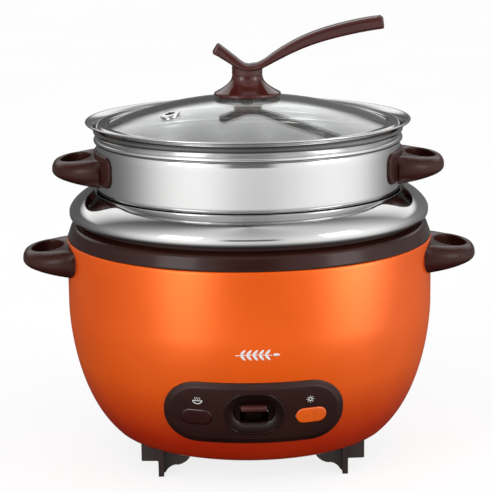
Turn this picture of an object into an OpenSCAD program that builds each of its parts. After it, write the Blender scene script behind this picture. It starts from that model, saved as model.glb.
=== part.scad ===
// Rice cooker with a glass-lidded steamer tray. Millimetres, +Z up, front panel towards -Y.
// The origin is on the floor, on the vertical axis of the bowl.

/* [Bowl] */
// Radius of the bowl where its side is upright
body_r = 140; // [138:0.5:141]
// Height of the bowl's painted top edge
body_top = 170; // [169:0.5:171]
// Height of the bowl's bottom edge
body_bottom = 20.5; // [20:0.5:21]
// Thickness of the painted steel
body_t = 1; // [0.8:0.1:1.4]

/* [Pot] */
// Outer radius of the pot's straight wall
pot_r = 117; // [116:0.5:118]
// Height of the underside of the pot
pot_floor = 70.2; // [70.1:0.1:71]
// Radius of the pot's wide rolled rim
rim_r = 137.6; // [135:0.2:138.5]
// Height of the top of the rim
rim_top = 206.6; // [206:0.2:207]
// Sheet thickness of the pot
pot_t = 1.2; // [0.9:0.1:1.8]

/* [Steamer] */
// Outer radius of the steamer's wall
steam_r = 116; // [115.6:0.2:117]
// Radius of the steamer's wide lip
lip_r = 124; // [121:0.5:126]
// Height of the lip's outer edge
lip_z = 259; // [258:0.5:260]
// Sheet thickness of the steamer
steam_t = 0.8; // [0.6:0.1:1]

/* [Lid] */
// Outer radius of the lid's steel rim
lid_r = 116.3; // [115.5:0.1:116.5]
// Height of the glass at its crown
glass_top = 276.4; // [274:0.2:277]
// Thickness of the glass
glass_t = 4; // [3.5:0.5:4.5]

/* [Handles] */
// Reach of the body handles from the axis
body_handle_x = 176; // [170:1:180]
// Height of the body handles' tips
body_handle_z = 153.5; // [152:0.5:156]
// Reach of the steamer handles from the axis
steam_handle_x = 150; // [146:1:154]
// Height of the steamer handles' tips
steam_handle_z = 223; // [222:1:225]
// Half width of every loop handle at its root
handle_half = 40; // [36:1:42]

/* [Panel] */
// Width of the control panel
panel_w = 130; // [124:1:136]
// Height of the control panel
panel_h = 50; // [46:1:52]
// Height of the panel's centre
panel_z = 64; // [62:1:66]
// How far the panel stands out of the bowl
panel_proud = 2.6; // [2:0.1:2.8]

/* [Lever] */
// Height of the cook lever's pivot
pivot_z = 44.7; // [44:0.1:45]
// Distance of the pivot from the axis
pivot_y = 70; // [69:0.5:71]

/* [Knob] */
// Radius of the knob's flange
knob_r = 25.5; // [22:0.5:28]
// Width of the knob's branch handle
branch_w = 18; // [14:1:20]

/* [Hidden] */
$fn = 96;
bend_z = 119.6;          // below this height the bowl curves in
bowl_h = 117.6;          // vertical semi-axis of the curved part
bowl_n = 1.737;          // exponent along the height
bowl_m = 4.68;           // exponent along the radius
plate_z = 70;            // top of the heating plate
chamber_r = 121;         // inside radius of the heat chamber
chamber_t = 0.8;
chamber_floor = 58;      // underside of the chamber's floor
base_z = 19.3;           // underside of the base plate
base_t = 1.2;
handle_screw_y = 28;
foot_x = 69;
foot_y = 66;
foot_screw = 60;
inlet_z = 62;
switch_z = 64.5;
lens_x = 41.3;
lens_z = 61.4;
vent_x = -58;
vent_y = -40;
seam_z = 206.8;          // step of the steamer that rests on the pot's rim
pad_t = 1.9;             // thickness of the pads behind the steamer's handles
glass_r = 113;
glass_edge = 254;        // height of the glass's top at its edge
glass_rise = glass_top - glass_edge;
dome_r = (pow(glass_r, 2) + pow(glass_rise, 2)) / (2 * glass_rise);
dome_z = glass_top - dome_r;
knob_neck_r = 11.7;
eps = 0.01;              // overlap that joins two shapes
far = 400;               // longer than anything here

// ---------- shared shapes ----------

// Outer radius of the bowl at height z
function bowl_r(z) = z >= bend_z ? body_r
    : body_r * pow(1 - pow((bend_z - z) / bowl_h, bowl_n), 1 / bowl_m);

// Points down the bowl's outside, moved outwards by d
function bowl_side(z0, z1, d, steps = 20) =
    [for (i = [0:steps]) let (z = z1 + (z0 - z1) * i / steps) [bowl_r(z) + d, z]];

// Quarter of a superellipse from its crest (a = 0) to its side (a = 90)
function quarter(cx, cz, rx, rz, power = 2 / 1.5, steps = 14) =
    [for (i = [0:steps]) let (a = 90 * i / steps)
        [cx + rx * pow(sin(a), power), cz + rz * pow(cos(a), power)]];

// Points of an arc in a profile
function arc(cx, cz, r, a0, a1, steps = 8) =
    [for (i = [0:steps]) let (a = a0 + (a1 - a0) * i / steps) [cx + r * cos(a), cz + r * sin(a)]];

function reverse(list) = [for (i = [len(list) - 1:-1:0]) list[i]];

module revolve(points) {
    rotate_extrude($fn = 144) polygon(points);
}

// Rounded rectangle in a plane, centred
module round_rect(w, h, r) {
    square([w - 2 * r, h], center = true);
    square([w, h - 2 * r], center = true);
    for (x = [-1, 1]) for (y = [-1, 1])
        translate([x * (w / 2 - r), y * (h / 2 - r)]) circle(r, $fn = 48);
}

// Prism through the front of the bowl, drawn in X and Z
module front_prism(x, z, w, h, r) {
    translate([x, 0, z]) rotate([90, 0, 0]) linear_extrude(170) round_rect(w, h, r);
}

// Solid of revolution that follows the bowl between two offsets
module bowl_skin(d0, d1, z0 = 30, z1 = 100) {
    revolve(concat(bowl_side(z0, z1, d1), reverse(bowl_side(z0, z1, d0))));
}

// Pill-shaped piece that lies on the bowl's front
module front_pill(x, z, w, h, r, d0, d1) {
    intersection() {
        front_prism(x, z, w, h, r);
        bowl_skin(d0, d1);
    }
}

function unit(v) = v / norm(v);

// Round tube along a path of points; ref is a direction the path never follows
module tube(path, r, ref = [0, 0, 1], sides = 8) {
    n = len(path);
    rings = [for (i = [0:n - 1])
        let (d = unit(path[min(i + 1, n - 1)] - path[max(i - 1, 0)]),
             u = unit(cross(d, ref)), v = cross(u, d))
        for (k = [0:sides - 1]) let (a = 360 * k / sides)
            path[i] + r * (u * cos(a) + v * sin(a))];
    sides_faces = [for (i = [0:n - 2]) for (k = [0:sides - 1])
        let (k2 = (k + 1) % sides)
        [i * sides + k, i * sides + k2, (i + 1) * sides + k2, (i + 1) * sides + k]];
    start = [for (k = [sides - 1:-1:0]) k];
    finish = [for (k = [0:sides - 1]) (n - 1) * sides + k];
    polyhedron(rings, concat([start, finish], sides_faces), convexity = 6);
}

// Coil spring standing on z0
module spring(r, wire, z0, z1, turns) {
    steps = round(turns * 14);
    rise = z1 - z0 - 2 * wire;
    tube([for (i = [0:steps]) let (a = 360 * turns * i / steps)
        [r * cos(a), r * sin(a), z0 + wire + rise * i / steps]], wire, sides = 8);
}

// Solid lofted through rings of equal point counts, listed from the bottom up
module loft(rings) {
    n = len(rings[0]);
    points = [for (ring = rings) each ring];
    low = [for (k = [0:n - 1]) k];
    high = [for (k = [n - 1:-1:0]) (len(rings) - 1) * n + k];
    walls = [for (i = [0:len(rings) - 2]) for (k = [0:n - 1]) let (k2 = (k + 1) % n)
        each [[i * n + k, (i + 1) * n + k, i * n + k2],
              [i * n + k2, (i + 1) * n + k, (i + 1) * n + k2]]];
    polyhedron(points, concat([low, high], walls), convexity = 4);
}

// Heights of a loop handle's lower and upper surface at the share u of its reach
function loop_low(u) = -7.5 * pow(1 - pow(u, 5), 0.55);
function loop_high(u) = 9.8 * pow(1 - pow(u, 6), 0.5);

// Loop handle on the -X side: a nose-shaped D with a finger hole, cut to the wall
module loop_handle(tip_x, tip_z, wall_r, bar) {
    root = wall_r - 10;
    reach = [0, 0.3, 0.5, 0.65, 0.77, 0.87, 0.94, 0.98, 1];
    ring = function(u, z) let (depth = 10 + u * (tip_x - wall_r), half = handle_half - 4 * (1 - u))
        [for (i = [0:24]) let (a = -90 + 7.5 * i)
            [-root - depth * pow(cos(a), 0.87), -sign(a) * half * pow(abs(sin(a)), 0.87), z]];
    hole_w = tip_x - bar - wall_r + 8;
    difference() {
        loft(concat(
            [for (u = reach) ring(u, tip_z + loop_low(u))],
            [for (u = reverse(reach)) if (u < 1) ring(u, tip_z + loop_high(u))]
        ));
        cylinder(h = far, r = wall_r);
        translate([8 - wall_r - hole_w / 2, 0, tip_z - 20]) linear_extrude(40)
            round_rect(hole_w, 46, 14);
        for (y = [-1, 1]) translate([-wall_r - 14, y * handle_screw_y, tip_z + 1])
            rotate([0, 90, 0]) cylinder(h = 30, r = 1.9, $fn = 32);
    }
}

// Screw or rivet lying along X on the -X side: head inside the wall, shank outwards
module wall_fastener(head_x, reach, y, z, head_r, head_h, shank_r) {
    translate([-head_x, y, z]) rotate([0, 90, 0]) {
        cylinder(h = head_h, r = head_r, $fn = 32);
        translate([0, 0, -reach]) cylinder(h = reach + eps, r = shank_r, $fn = 32);
    }
}

// ---------- housing ----------

module outer_shell() {
    flange_r = 97;
    color("#ee6a24") difference() {
        revolve(concat(
            [[flange_r, body_bottom], [bowl_r(body_bottom), body_bottom]],
            reverse(bowl_side(body_bottom + 1.2, bend_z, 0, 26)),
            [[body_r, body_top - 1.2], [body_r - 0.6, body_top], [body_r - 8, body_top],
             [body_r - 8, body_top - body_t], [body_r - body_t, body_top - body_t]],
            bowl_side(body_bottom + body_t + 0.8, bend_z, -body_t, 26),
            [[flange_r, body_bottom + body_t]]
        ));
        front_prism(0, panel_z, panel_w - 14, panel_h - 14, 17.9);
        translate([0, 0, inlet_z]) rotate([-90, 0, 0])
            linear_extrude(170) round_rect(30.4, 24.4, 3);
        for (x = [-1, 1]) translate([x * 17.5, 100, inlet_z]) rotate([-90, 0, 0])
            cylinder(h = 60, r = 1.6, $fn = 32);
        for (side = [0, 1]) for (y = [-1, 1]) mirror([side, 0, 0])
            translate([-body_r - 20, y * handle_screw_y, body_handle_z + 1])
                rotate([0, 90, 0]) cylinder(h = 40, r = 1.9, $fn = 32);
    }
}

module rim_collar() {
    inner = chamber_r + 4.2;
    color("#4b2f29") revolve(concat(
        [[inner, body_top - 6], [body_r - 8.1, body_top - 6], [body_r - 8.1, body_top + 0.02],
         [body_r - 0.3, body_top + 0.02], [body_r - 0.5, body_top + 4]],
        arc(body_r - 6.4, body_top + 7, 5.4, 10, 82, 8),
        [[130, body_top + 11.6], [130, body_top + 16.5], [inner, body_top + 16.5]]
    ));
}

module body_handle_left() {
    color("#4a2c26") difference() {
        loop_handle(body_handle_x, body_handle_z, body_r, 6);
        translate([0, 0, body_top]) cylinder(h = 60, r = body_r);
    }
}

module body_handle_right() {
    mirror([1, 0, 0]) body_handle_left();
}

module handle_screws() {
    head_x = sqrt(pow(body_r - body_t, 2) - pow(handle_screw_y + 3.2, 2)) - 0.1;
    color("silver") for (side = [0, 1]) for (y = [-1, 1]) mirror([side, 0, 0])
        wall_fastener(head_x, 12, y * handle_screw_y, body_handle_z + 1, 3.2, 2, 1.8);
}

module base_plate() {
    slot_l = 26;
    color("silver") difference() {
        translate([0, 0, base_z]) cylinder(h = base_t, r = 101);
        for (i = [0:5]) for (k = [0:2]) rotate([0, 0, i * 60]) translate([24 + 11 * k, 0, 0])
            linear_extrude(40, center = false) round_rect(4, slot_l, 1.9);
        for (x = [-1, 1]) for (y = [-1, 1]) translate([x * foot_screw, y * foot_screw, 0])
            cylinder(h = 40, r = 2, $fn = 32);
    }
}

// Foot for the front left corner; the others are its mirror images
module foot() {
    plate = 3;
    difference() {
        union() {
            // crosswise web, its inner side sweeping up in an S
            translate([0, -foot_y - plate, 0]) rotate([90, 0, 0]) translate([0, 0, -plate])
                linear_extrude(plate) polygon(concat(
                    [[-84, 30], [-84, 10.2], [-83.4, 9.5], [-foot_x - 2.6, 9.3], [-foot_x - 2, 0],
                     [-foot_x + 2, 0]],
                    arc(-foot_x + 12, -3.4, 9.8, 156, 95, 6),
                    arc(-foot_x + 10.5, 19, 13, 275, 330, 6),
                    [[-46, 18], [-46, 30]]));
            // fore-aft rib that stands on the floor
            translate([-foot_x - 2, 0, 0]) rotate([90, 0, 90]) linear_extrude(4) polygon([
                [-foot_y - 16, 30], [-foot_y - 13, 1], [-foot_y - 12, 0], [-foot_y + 8, 0],
                [-foot_y + 14, 6], [-foot_y + 24, 12], [-foot_y + 24, 30]]);
            translate([-foot_screw, -foot_screw, 7]) cylinder(h = 20, r = 6.5);
        }
        revolve(concat([[0, 19.3], [102, 19.3], [102, body_bottom - 0.02],
            [bowl_r(body_bottom), body_bottom - 0.02]],
            reverse(bowl_side(body_bottom + 1.2, 60, 0.02, 16)), [[0, 60]]));
        translate([-foot_screw, -foot_screw, -1]) cylinder(h = 40, r = 2, $fn = 32);
        translate([-foot_screw, -foot_screw, 6.9]) cylinder(h = 4.1, r = 3.6, $fn = 32);
    }
}

module foot_front_left() { color("#33201c") foot(); }
module foot_front_right() { color("#33201c") mirror([1, 0, 0]) foot(); }
module foot_rear_left() { color("#33201c") mirror([0, 1, 0]) foot(); }
module foot_rear_right() { color("#33201c") mirror([1, 0, 0]) mirror([0, 1, 0]) foot(); }

module foot_screws() {
    color("silver") for (x = [-1, 1]) for (y = [-1, 1])
        translate([x * foot_screw, y * foot_screw, 0]) {
            translate([0, 0, 9]) cylinder(h = 2, r = 3.4, $fn = 32);
            translate([0, 0, 10]) cylinder(h = 14, r = 1.9, $fn = 32);
        }
}

// ---------- heating ----------

module heat_chamber() {
    t = chamber_t;
    floor_r = 104;
    top = body_top + 16.5;
    color("#c9c9c6") difference() {
        revolve([
            [10, chamber_floor], [floor_r + t, chamber_floor], [floor_r + t, 62],
            [chamber_r + t, 92], [chamber_r + t, top], [129, top], [129, top + t],
            [chamber_r, top + t], [chamber_r, 92.2], [floor_r, 62.2], [floor_r, chamber_floor + t],
            [10, chamber_floor + t]
        ]);
        for (x = [-1, 1]) translate([x * 34, 52, 0]) cylinder(h = 70, r = 4, $fn = 32);
    }
}

module heating_plate() {
    color("#b8babb") revolve([
        [18.3, plate_z - 9.5], [60, plate_z - 9.5], [80, plate_z - 8], [86, plate_z - 4],
        [88, plate_z - 1.5], [86.5, plate_z], [19, plate_z], [18.3, plate_z - 0.7]
    ]);
}

module plate_spacers() {
    color("ivory") for (i = [0:2]) rotate([0, 0, 30 + 120 * i]) translate([48, 0, 0])
        difference() {
            translate([0, 0, chamber_floor + chamber_t])
                cylinder(h = plate_z - 9.5 - chamber_floor - chamber_t, r = 5, $fn = 32);
            translate([0, 0, chamber_floor]) cylinder(h = 9, r = 2, $fn = 32);
        }
}

module heater_terminals() {
    color("silver") for (x = [-1, 1]) translate([x * 34, 52, 48])
        cylinder(h = plate_z - 9.5 - 48, r = 2.2, $fn = 32);
}

module sensor_cup() {
    color("#d5d6d6") revolve([
        [0, chamber_floor + 0.2], [8.5, chamber_floor + 0.2], [8.5, 66], [16, 66], [16, 62.2],
        [17.6, 62.2], [17.6, 69.2], [17, 69.9], [0, 69.9]
    ]);
}

module sensor_spring() {
    color("silver") spring(12.4, 0.6, chamber_floor + chamber_t, 66, 3.5);
}

module magnet_guide() {
    color("silver") difference() {
        revolve([
            [9.4, 47], [10.4, 47], [10.4, chamber_floor - 1], [20, chamber_floor - 1],
            [20, chamber_floor], [10.4, chamber_floor], [9.4, chamber_floor]
        ]);
        translate([-7.6, -20, 40]) cube([15.2, 20, 13]);
    }
}

module lift_magnet() {
    color("#2d2d2f") translate([0, 0, 48]) cylinder(h = 4.2, r = 7, $fn = 48);
}

module magnet_holder() {
    color("silver") translate([0, 0, 46.6]) cylinder(h = 1.4, r = 9.2, $fn = 48);
}

// ---------- cook switch ----------

module cook_lever() {
    t = 3;
    bottom = pivot_z - t / 2;
    top = pivot_z + t / 2;
    color("#43281f") difference() {
        union() {
            rotate([90, 0, 90]) translate([0, 0, -6]) linear_extrude(12) polygon([
                [-131, 71.2], [-123.5, 71.2], [-106.6, top], [-3, top], [-3, bottom],
                [-108.6, bottom], [-124.6, 66.6], [-131, 66.6]
            ]);
            translate([-9.4, -134, 66.6]) cube([18.8, 6.5, 4.6]);
            translate([0, -90, bottom]) cube([15, 6, t]);
            translate([-6, -pivot_y, pivot_z]) rotate([0, 90, 0]) cylinder(h = 12, r = 4);
        }
        translate([-20, -pivot_y, pivot_z]) rotate([0, 90, 0]) cylinder(h = 40, r = 2.06, $fn = 48);
    }
}

module lever_pin() {
    color("silver") translate([-11, -pivot_y, pivot_z]) rotate([0, 90, 0])
        cylinder(h = 22, r = 2, $fn = 48);
}

module lever_spring() {
    color("silver") translate([0, -90, 0]) spring(3.6, 0.5, base_z + 2.7, pivot_z - 1.5, 7);
}

module switch_bracket() {
    floor_z = base_z + base_t;
    color("#b5b7b8") difference() {
        union() {
            translate([-10, -94, floor_z]) cube([28, 38, 1.5]);
            for (x = [-9.5, 8]) translate([x, -pivot_y - 8, floor_z]) cube([1.5, 16, 30]);
            translate([10, -94, floor_z]) cube([8, 20, 5.5]);
        }
        translate([-20, -pivot_y, pivot_z]) rotate([0, 90, 0]) cylinder(h = 40, r = 2, $fn = 48);
    }
}

module microswitch() {
    floor_z = base_z + base_t + 5.5;
    color("#2b2b2d") {
        translate([10.5, -94, floor_z]) cube([7, 20, 12]);
        translate([12.5, -87, floor_z + 11.9]) cylinder(h = 3.2, r = 1.2, $fn = 32);
    }
}

// ---------- control panel ----------

module panel_housing() {
    steps = 5;
    edge = 3.4;              // how far the rounded edge reaches into the face
    color("#3d2722") difference() {
        union() {
            for (i = [0:steps - 1]) let (a = 90 * i / steps, b = 90 * (i + 1) / steps,
                    inset = edge * (1 - cos(a)))
                front_pill(0, panel_z, panel_w - 2 * inset, panel_h - 2 * inset, 24 - inset,
                    i == 0 ? 0.02 : panel_proud * sin(a) - eps, panel_proud * sin(b));
            front_pill(0, panel_z, panel_w - 14.6, panel_h - 14.6, 17.6, -5, 0.1);
        }
        difference() {
            front_prism(0, panel_z, panel_w - 18, panel_h - 18, 15);
            bowl_skin(-1, panel_proud + 5);
        }
        front_prism(0, switch_z, 42.4, 32.4, 16.1);
        for (x = [-1, 1]) front_prism(x * lens_x, lens_z, 23, 13.6, 6.7);
    }
}

// Stepped funnel round the lever: a raised oval lip, a slope inwards and a recessed floor
module switch_bezel() {
    steps = 6;
    lip = panel_proud + 0.7;
    recess_z = switch_z + 0.8;
    color("#2b1814") difference() {
        union() {
            front_pill(0, switch_z, 42, 32, 15.9, -5, lip);
            front_pill(0, switch_z, 43.6, 33.6, 16.7, panel_proud + 0.02, lip);
        }
        for (i = [0:steps - 1]) let (grow = i / steps) intersection() {
            front_prism(0, recess_z - 0.6 * grow, 30 + 8.8 * grow, 17.4 + 11.6 * grow, 8.6 + 5.6 * grow);
            bowl_skin(i == 0 ? -3.2 : lip * pow(grow, 0.7) - 0.02, 12);
        }
        intersection() {
            front_prism(0, 61, 20.4, 24, 2);
            bowl_skin(-9, -3.1);
        }
    }
}

module indicator_lens(x) {
    front_pill(x, lens_z, 22.4, 13, 6.4, -3, panel_proud + 0.1);
    front_pill(x, lens_z, 21, 11.6, 5.7, panel_proud, panel_proud + 0.5);
}

module cook_lens() { color("#5a1210") indicator_lens(-lens_x); }
module warm_lens() { color("#f07818") indicator_lens(lens_x); }

module indicator_lamps() {
    color("#ffd9a0") for (x = [-1, 1]) translate([x * lens_x, -106, lens_z]) rotate([90, 0, 0]) {
        cylinder(h = 9, r = 2.6, $fn = 32);
        translate([0, 0, 9]) sphere(2.6, $fn = 32);
    }
}

module lamp_board() {
    color("#2f6a3a") for (x = [-1, 1])
        translate([x * lens_x - 10, -106, 51]) cube([20, 1.6, 15]);
}

// ---------- protection and mains ----------

module warm_thermostat() {
    color("#d9d2c2") translate([-45, -20, 50]) {
        cylinder(h = chamber_floor - 50, r = 8);
        translate([-13, -2.5, 0]) cube([26, 5, 0.8]);
    }
}

module thermal_fuse() {
    color("#d8d8d4") {
        translate([36, 20, 54]) rotate([0, 90, 0]) cylinder(h = 16, r = 2.4, $fn = 32);
        translate([41, 17, 54]) cube([6, 6, chamber_floor - 54]);
    }
}

module power_inlet() {
    color("#232323") difference() {
        union() {
            translate([0, 0, inlet_z]) rotate([-90, 0, 0]) translate([0, 0, 112])
                linear_extrude(18) round_rect(30, 24, 2.8);
            mirror([0, 1, 0]) front_pill(0, inlet_z, 44, 32, 4, 0.02, 3);
        }
        translate([0, 0, inlet_z]) rotate([-90, 0, 0]) translate([0, 0, 116])
            linear_extrude(40) round_rect(25, 19, 2);
        for (x = [-1, 1]) translate([x * 17.5, 100, inlet_z]) rotate([-90, 0, 0])
            cylinder(h = 60, r = 1.6, $fn = 32);
        for (x = [-1, 1]) translate([x * 17.5, 131.4, inlet_z]) rotate([-90, 0, 0])
            cylinder(h = 60, r = 3.1, $fn = 32);
        for (x = [-1, 1]) translate([x * 6.35 - 0.8, 100, inlet_z - 3]) cube([1.6, 20, 6]);
    }
}

module inlet_blades() {
    color("#c8a557") for (x = [-1, 1]) translate([x * 6.35 - 0.8, 109, inlet_z - 3])
        cube([1.6, 19, 6]);
}

module inlet_screws() {
    color("silver") for (x = [-1, 1]) translate([x * 17.5, 0, inlet_z]) rotate([-90, 0, 0]) {
        translate([0, 0, 131.4]) cylinder(h = 1.6, r = 2.9, $fn = 32);
        translate([0, 0, 122]) cylinder(h = 10, r = 1.5, $fn = 32);
    }
}

// Lead that bends once, from a over the control point b to c
module lead(a, b, c, r = 1.1, ref = [0, 0, 1]) {
    tube([for (i = [0:9]) let (s = i / 9)
        a * pow(1 - s, 2) + b * 2 * s * (1 - s) + c * s * s], r, ref);
}

module internal_wiring() {
    color("#d8d2c8") {
        // inlet blades to heater terminals
        for (x = [-1, 1])
            lead([x * 6.35, 111, 58.8], [x * 9, 110, 42], [x * 31, 53.4, 50], ref = [1, 0, 0]);
        // heater terminal to fuse, and fuse to microswitch
        lead([34, 49.4, 50], [26, 36, 47], [34.7, 20, 54]);
        lead([53.3, 20, 54], [60, -60, 36], [18.4, -82, 33]);
        // lamp boards to microswitch
        lead([lens_x, -103.4, 54], [36, -90, 34], [18.3, -88, 29], 0.9);
        lead([-lens_x, -103.4, 54], [-18, -82, 20], [9.6, -81, 29], 0.9, [0, 1, 0]);
    }
}

// ---------- pot ----------

module inner_pot() {
    t = pot_t;
    corner = 26;
    crest_x = 118.4;
    side_z = 191.5;
    edge = 186.2;
    color("#d3d5d6") revolve(concat(
        [[0, pot_floor]],
        arc(pot_r - corner, pot_floor + corner, corner, -90, 0, 8),
        [[pot_r, rim_top - 6]],
        quarter(crest_x, side_z, rim_r - crest_x - t, rim_top - side_z - t),
        [[rim_r - t, edge + 1], [rim_r - 3.4, edge], [rim_r - 1.6, edge], [rim_r - 0.4, edge + 1.6]],
        reverse(quarter(crest_x, side_z, rim_r - crest_x, rim_top - side_z)),
        arc(crest_x, rim_top - 3, 3, 110, 170, 4),
        arc(pot_r - corner, pot_floor + corner, corner - t, 0, -90, 8),
        [[0, pot_floor + t]]
    ));
}

// ---------- steamer ----------

// Outside line of the steamer from its floor to its lip
function steam_side(d) = concat(
    [[0, 186 + d]],
    arc(104.6, 196, 10 - d, -90, 0, 6),
    [[114.6 - d, seam_z - 0.8 + d * 0.4], [steam_r - d, seam_z + d * 0.6], [steam_r - d, 239.4],
     [steam_r - 0.7 - d, 242.6]],
    arc(steam_r - 0.4 - d, 245.2, 2.2, -50, 50, 5),
    [[steam_r - 0.8 - d, 247.9], [steam_r + 2 - d, 250.2], [steam_r + 2 - d, 255.4 + d]]
);

module steamer_tray() {
    t = steam_t;
    hole = 2;
    color("#d8dadb") difference() {
        revolve(concat(
            steam_side(0),
            [[steam_r + 3.4, 257.2], [lip_r - 1, lip_z - 0.8], [lip_r, lip_z - 0.2],
             [lip_r - 0.6, lip_z + 0.6], [steam_r + 3, 257.9 + t * 0.2]],
            reverse(steam_side(t))
        ));
        for (ring = [1:6]) for (i = [0:ring * 6 - 1]) rotate([0, 0, 360 * i / (ring * 6)])
            translate([ring * 15, 0, 180]) cylinder(h = 12, r = hole, $fn = 16);
        for (side = [0, 1]) for (y = [-1, 1]) mirror([side, 0, 0])
            translate([-steam_r - 6, y * handle_screw_y, steam_handle_z + 1])
                rotate([0, 90, 0]) cylinder(h = 14, r = 1.9, $fn = 32);
    }
}

module steamer_handle_left() {
    color("#4a2c26") loop_handle(steam_handle_x, steam_handle_z, steam_r + pad_t, 5.5);
}

module steamer_handle_right() { mirror([1, 0, 0]) steamer_handle_left(); }

module steamer_pads() {
    pad_z = steam_handle_z + 2;
    color("#4a2c26") for (side = [0, 1]) mirror([side, 0, 0]) difference() {
        intersection() {
            translate([0, 0, pad_z]) rotate([90, 0, -90]) linear_extrude(200)
                round_rect(110, 26, 8);
            revolve([[steam_r + 0.02, 200], [steam_r + pad_t, 200], [steam_r + pad_t, 238.6],
                [steam_r + 0.02, 238.6]]);
        }
        for (y = [-1, 1]) translate([-steam_r - 6, y * handle_screw_y, steam_handle_z + 1])
            rotate([0, 90, 0]) cylinder(h = 14, r = 1.9, $fn = 32);
    }
}

module steamer_rivets() {
    head_x = sqrt(pow(steam_r - steam_t, 2) - pow(handle_screw_y + 3, 2)) - 0.1;
    color("silver") for (side = [0, 1]) for (y = [-1, 1]) mirror([side, 0, 0])
        wall_fastener(head_x, 16, y * handle_screw_y, steam_handle_z + 1, 3, 1.4, 1.8);
}

// ---------- lid ----------

// Moves its children onto the glass at the vent, square to the surface
module at_vent() {
    translate([0, 0, dome_z]) rotate([0, 0, atan2(vent_y, vent_x)])
        rotate([0, asin(norm([vent_x, vent_y]) / dome_r), 0]) translate([0, 0, dome_r]) children();
}

module lid_glass() {
    span = asin(glass_r / dome_r);
    inner = dome_r - glass_t;
    color([0.75, 0.82, 0.8, 0.35]) difference() {
        revolve(concat(
            [for (i = [0:16]) let (a = span * i / 16) [dome_r * sin(a), dome_z + dome_r * cos(a)]],
            [[glass_r, glass_edge - glass_t + 0.4]],
            [for (i = [16:-1:0]) let (a = span * i / 16) [inner * sin(a), dome_z + inner * cos(a)]]
        ));
        cylinder(h = far, r = 4.2, $fn = 48);
        at_vent() translate([0, 0, -20]) cylinder(h = 40, r = 5.1, $fn = 48);
    }
}

module lid_rim() {
    top = 257.8;
    bottom = 249;
    color("#dcdddd") revolve(concat(
        [[glass_r - 4, bottom], [lid_r - 0.8, bottom], [lid_r, bottom + 1.2]],
        arc(lid_r - 2.4, top - 2.4, 2.4, 0, 80, 5),
        [[glass_r - 5.6, 257], [glass_r - 6, 256.7], [glass_r - 5.4, 256.4],
         [glass_r + 0.9, 256.2], [glass_r + 1, 250], [glass_r - 4, 250.4]]
    ));
}

module vent_grommet() {
    color("#c9cbcc") at_vent() difference() {
        union() {
            translate([0, 0, -glass_t - 1.2]) cylinder(h = glass_t + 2.4, r = 5);
            translate([0, 0, 0.05]) cylinder(h = 1.3, r = 7.4);
            translate([0, 0, -glass_t - 1.3]) cylinder(h = 1.2, r = 7);
        }
        translate([0, 0, -10]) cylinder(h = 20, r = 3.6, $fn = 48);
    }
}

module knob_base() {
    low = glass_top - 0.2;
    color("#44261f") difference() {
        revolve(concat(
            [[4.2, low + 0.3], [knob_r - 3, low], [knob_r, low + 0.5], [knob_r, low + 2.2]],
            [for (i = [0:10]) let (u = i / 10)
                [knob_neck_r + 12.5 * pow(1 - u, 1.55), low + 3.4 + 13 * u]],
            [[knob_neck_r, low + 28], [4.2, low + 28]]
        ));
        // everything above the branch's lower line
        rotate([90, 0, 0]) linear_extrude(60, center = true) translate([0, -0.05]) polygon(concat(
            [[-40, 323]], branch_low, [for (s = [0:0.1:0.4]) long_arm(s, -arm_under(s))],
            [[60, 340], [-40, 340]]));
    }
}

// Centre line of the long arm at the share s of its length
function arm_x(s) = 12 + 91 * s;
function arm_z(s) = 300.3 + 31.4 * (1 - pow(1 - s, 1.88)) + 0.8 * sin(360 * s);

// Point at the distance d above the long arm's centre line
function long_arm(s, d) = let (t = atan2(arm_z(s) - arm_z(s - 0.02), arm_x(s) - arm_x(s - 0.02)))
    [arm_x(s) - d * sin(t), arm_z(s) + d * cos(t)];

// Distances from the centre line to the long arm's upper and lower face
function arm_over(s) = 1.8 + 2.3 * pow(s, 0.6);
function arm_under(s) = arm_over(s) + 2.9 * pow(sin(180 * pow(s, 0.75)), 0.8) + 1.1 * s;

// Lower line of the branch, from the short arm to the long arm's root
branch_low = [[-26.9, 312.4], [-26.4, 310.3], [-24.6, 308.8], [-9, 298.9], [-3.6, 296.2],
    [1.3, 295.4], [6.6, 296.3]];
// Upper line, from the long arm's root to the short arm
branch_high = [[6.4, 301], [3.8, 300.1], [1.2, 300], [-1.4, 300.6], [-4.7, 302.8],
    [-12.6, 309.6], [-22.6, 317.2], [-24.4, 317.4], [-25.8, 316.4]];

module knob_branch() {
    arm = [for (i = [0:14]) i / 14];
    wide = knob_neck_r;
    slim = branch_w / 2;
    color("#54302a") difference() {
        intersection() {
            rotate([90, 0, 0]) linear_extrude(60, center = true) polygon(concat(
                branch_low,
                [for (s = arm) long_arm(s, -arm_under(s))],
                [for (s = reverse(arm)) long_arm(s, arm_over(s))],
                branch_high
            ));
            translate([0, 0, 280]) linear_extrude(80) polygon([
                [-30, -slim], [-22, -slim], [-9, -wide], [9, -wide], [24, -slim], [110, -slim],
                [110, slim], [24, slim], [9, wide], [-9, wide], [-22, slim], [-30, slim]
            ]);
        }
        cylinder(h = 297.6, r = 1.9, $fn = 32);
    }
}

module knob_washer() {
    color("silver") translate([0, 0, glass_top - glass_t - 1.7]) difference() {
        cylinder(h = 1.5, r = 10);
        translate([0, 0, -1]) cylinder(h = 4, r = 2.6, $fn = 32);
    }
}

module knob_screw() {
    color("silver") {
        translate([0, 0, glass_top - glass_t - 4.2]) cylinder(h = 2.5, r = 4.2, $fn = 32);
        translate([0, 0, glass_top - glass_t - 2]) cylinder(h = 26, r = 1.9, $fn = 32);
    }
}

// ---------- placement ----------

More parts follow.
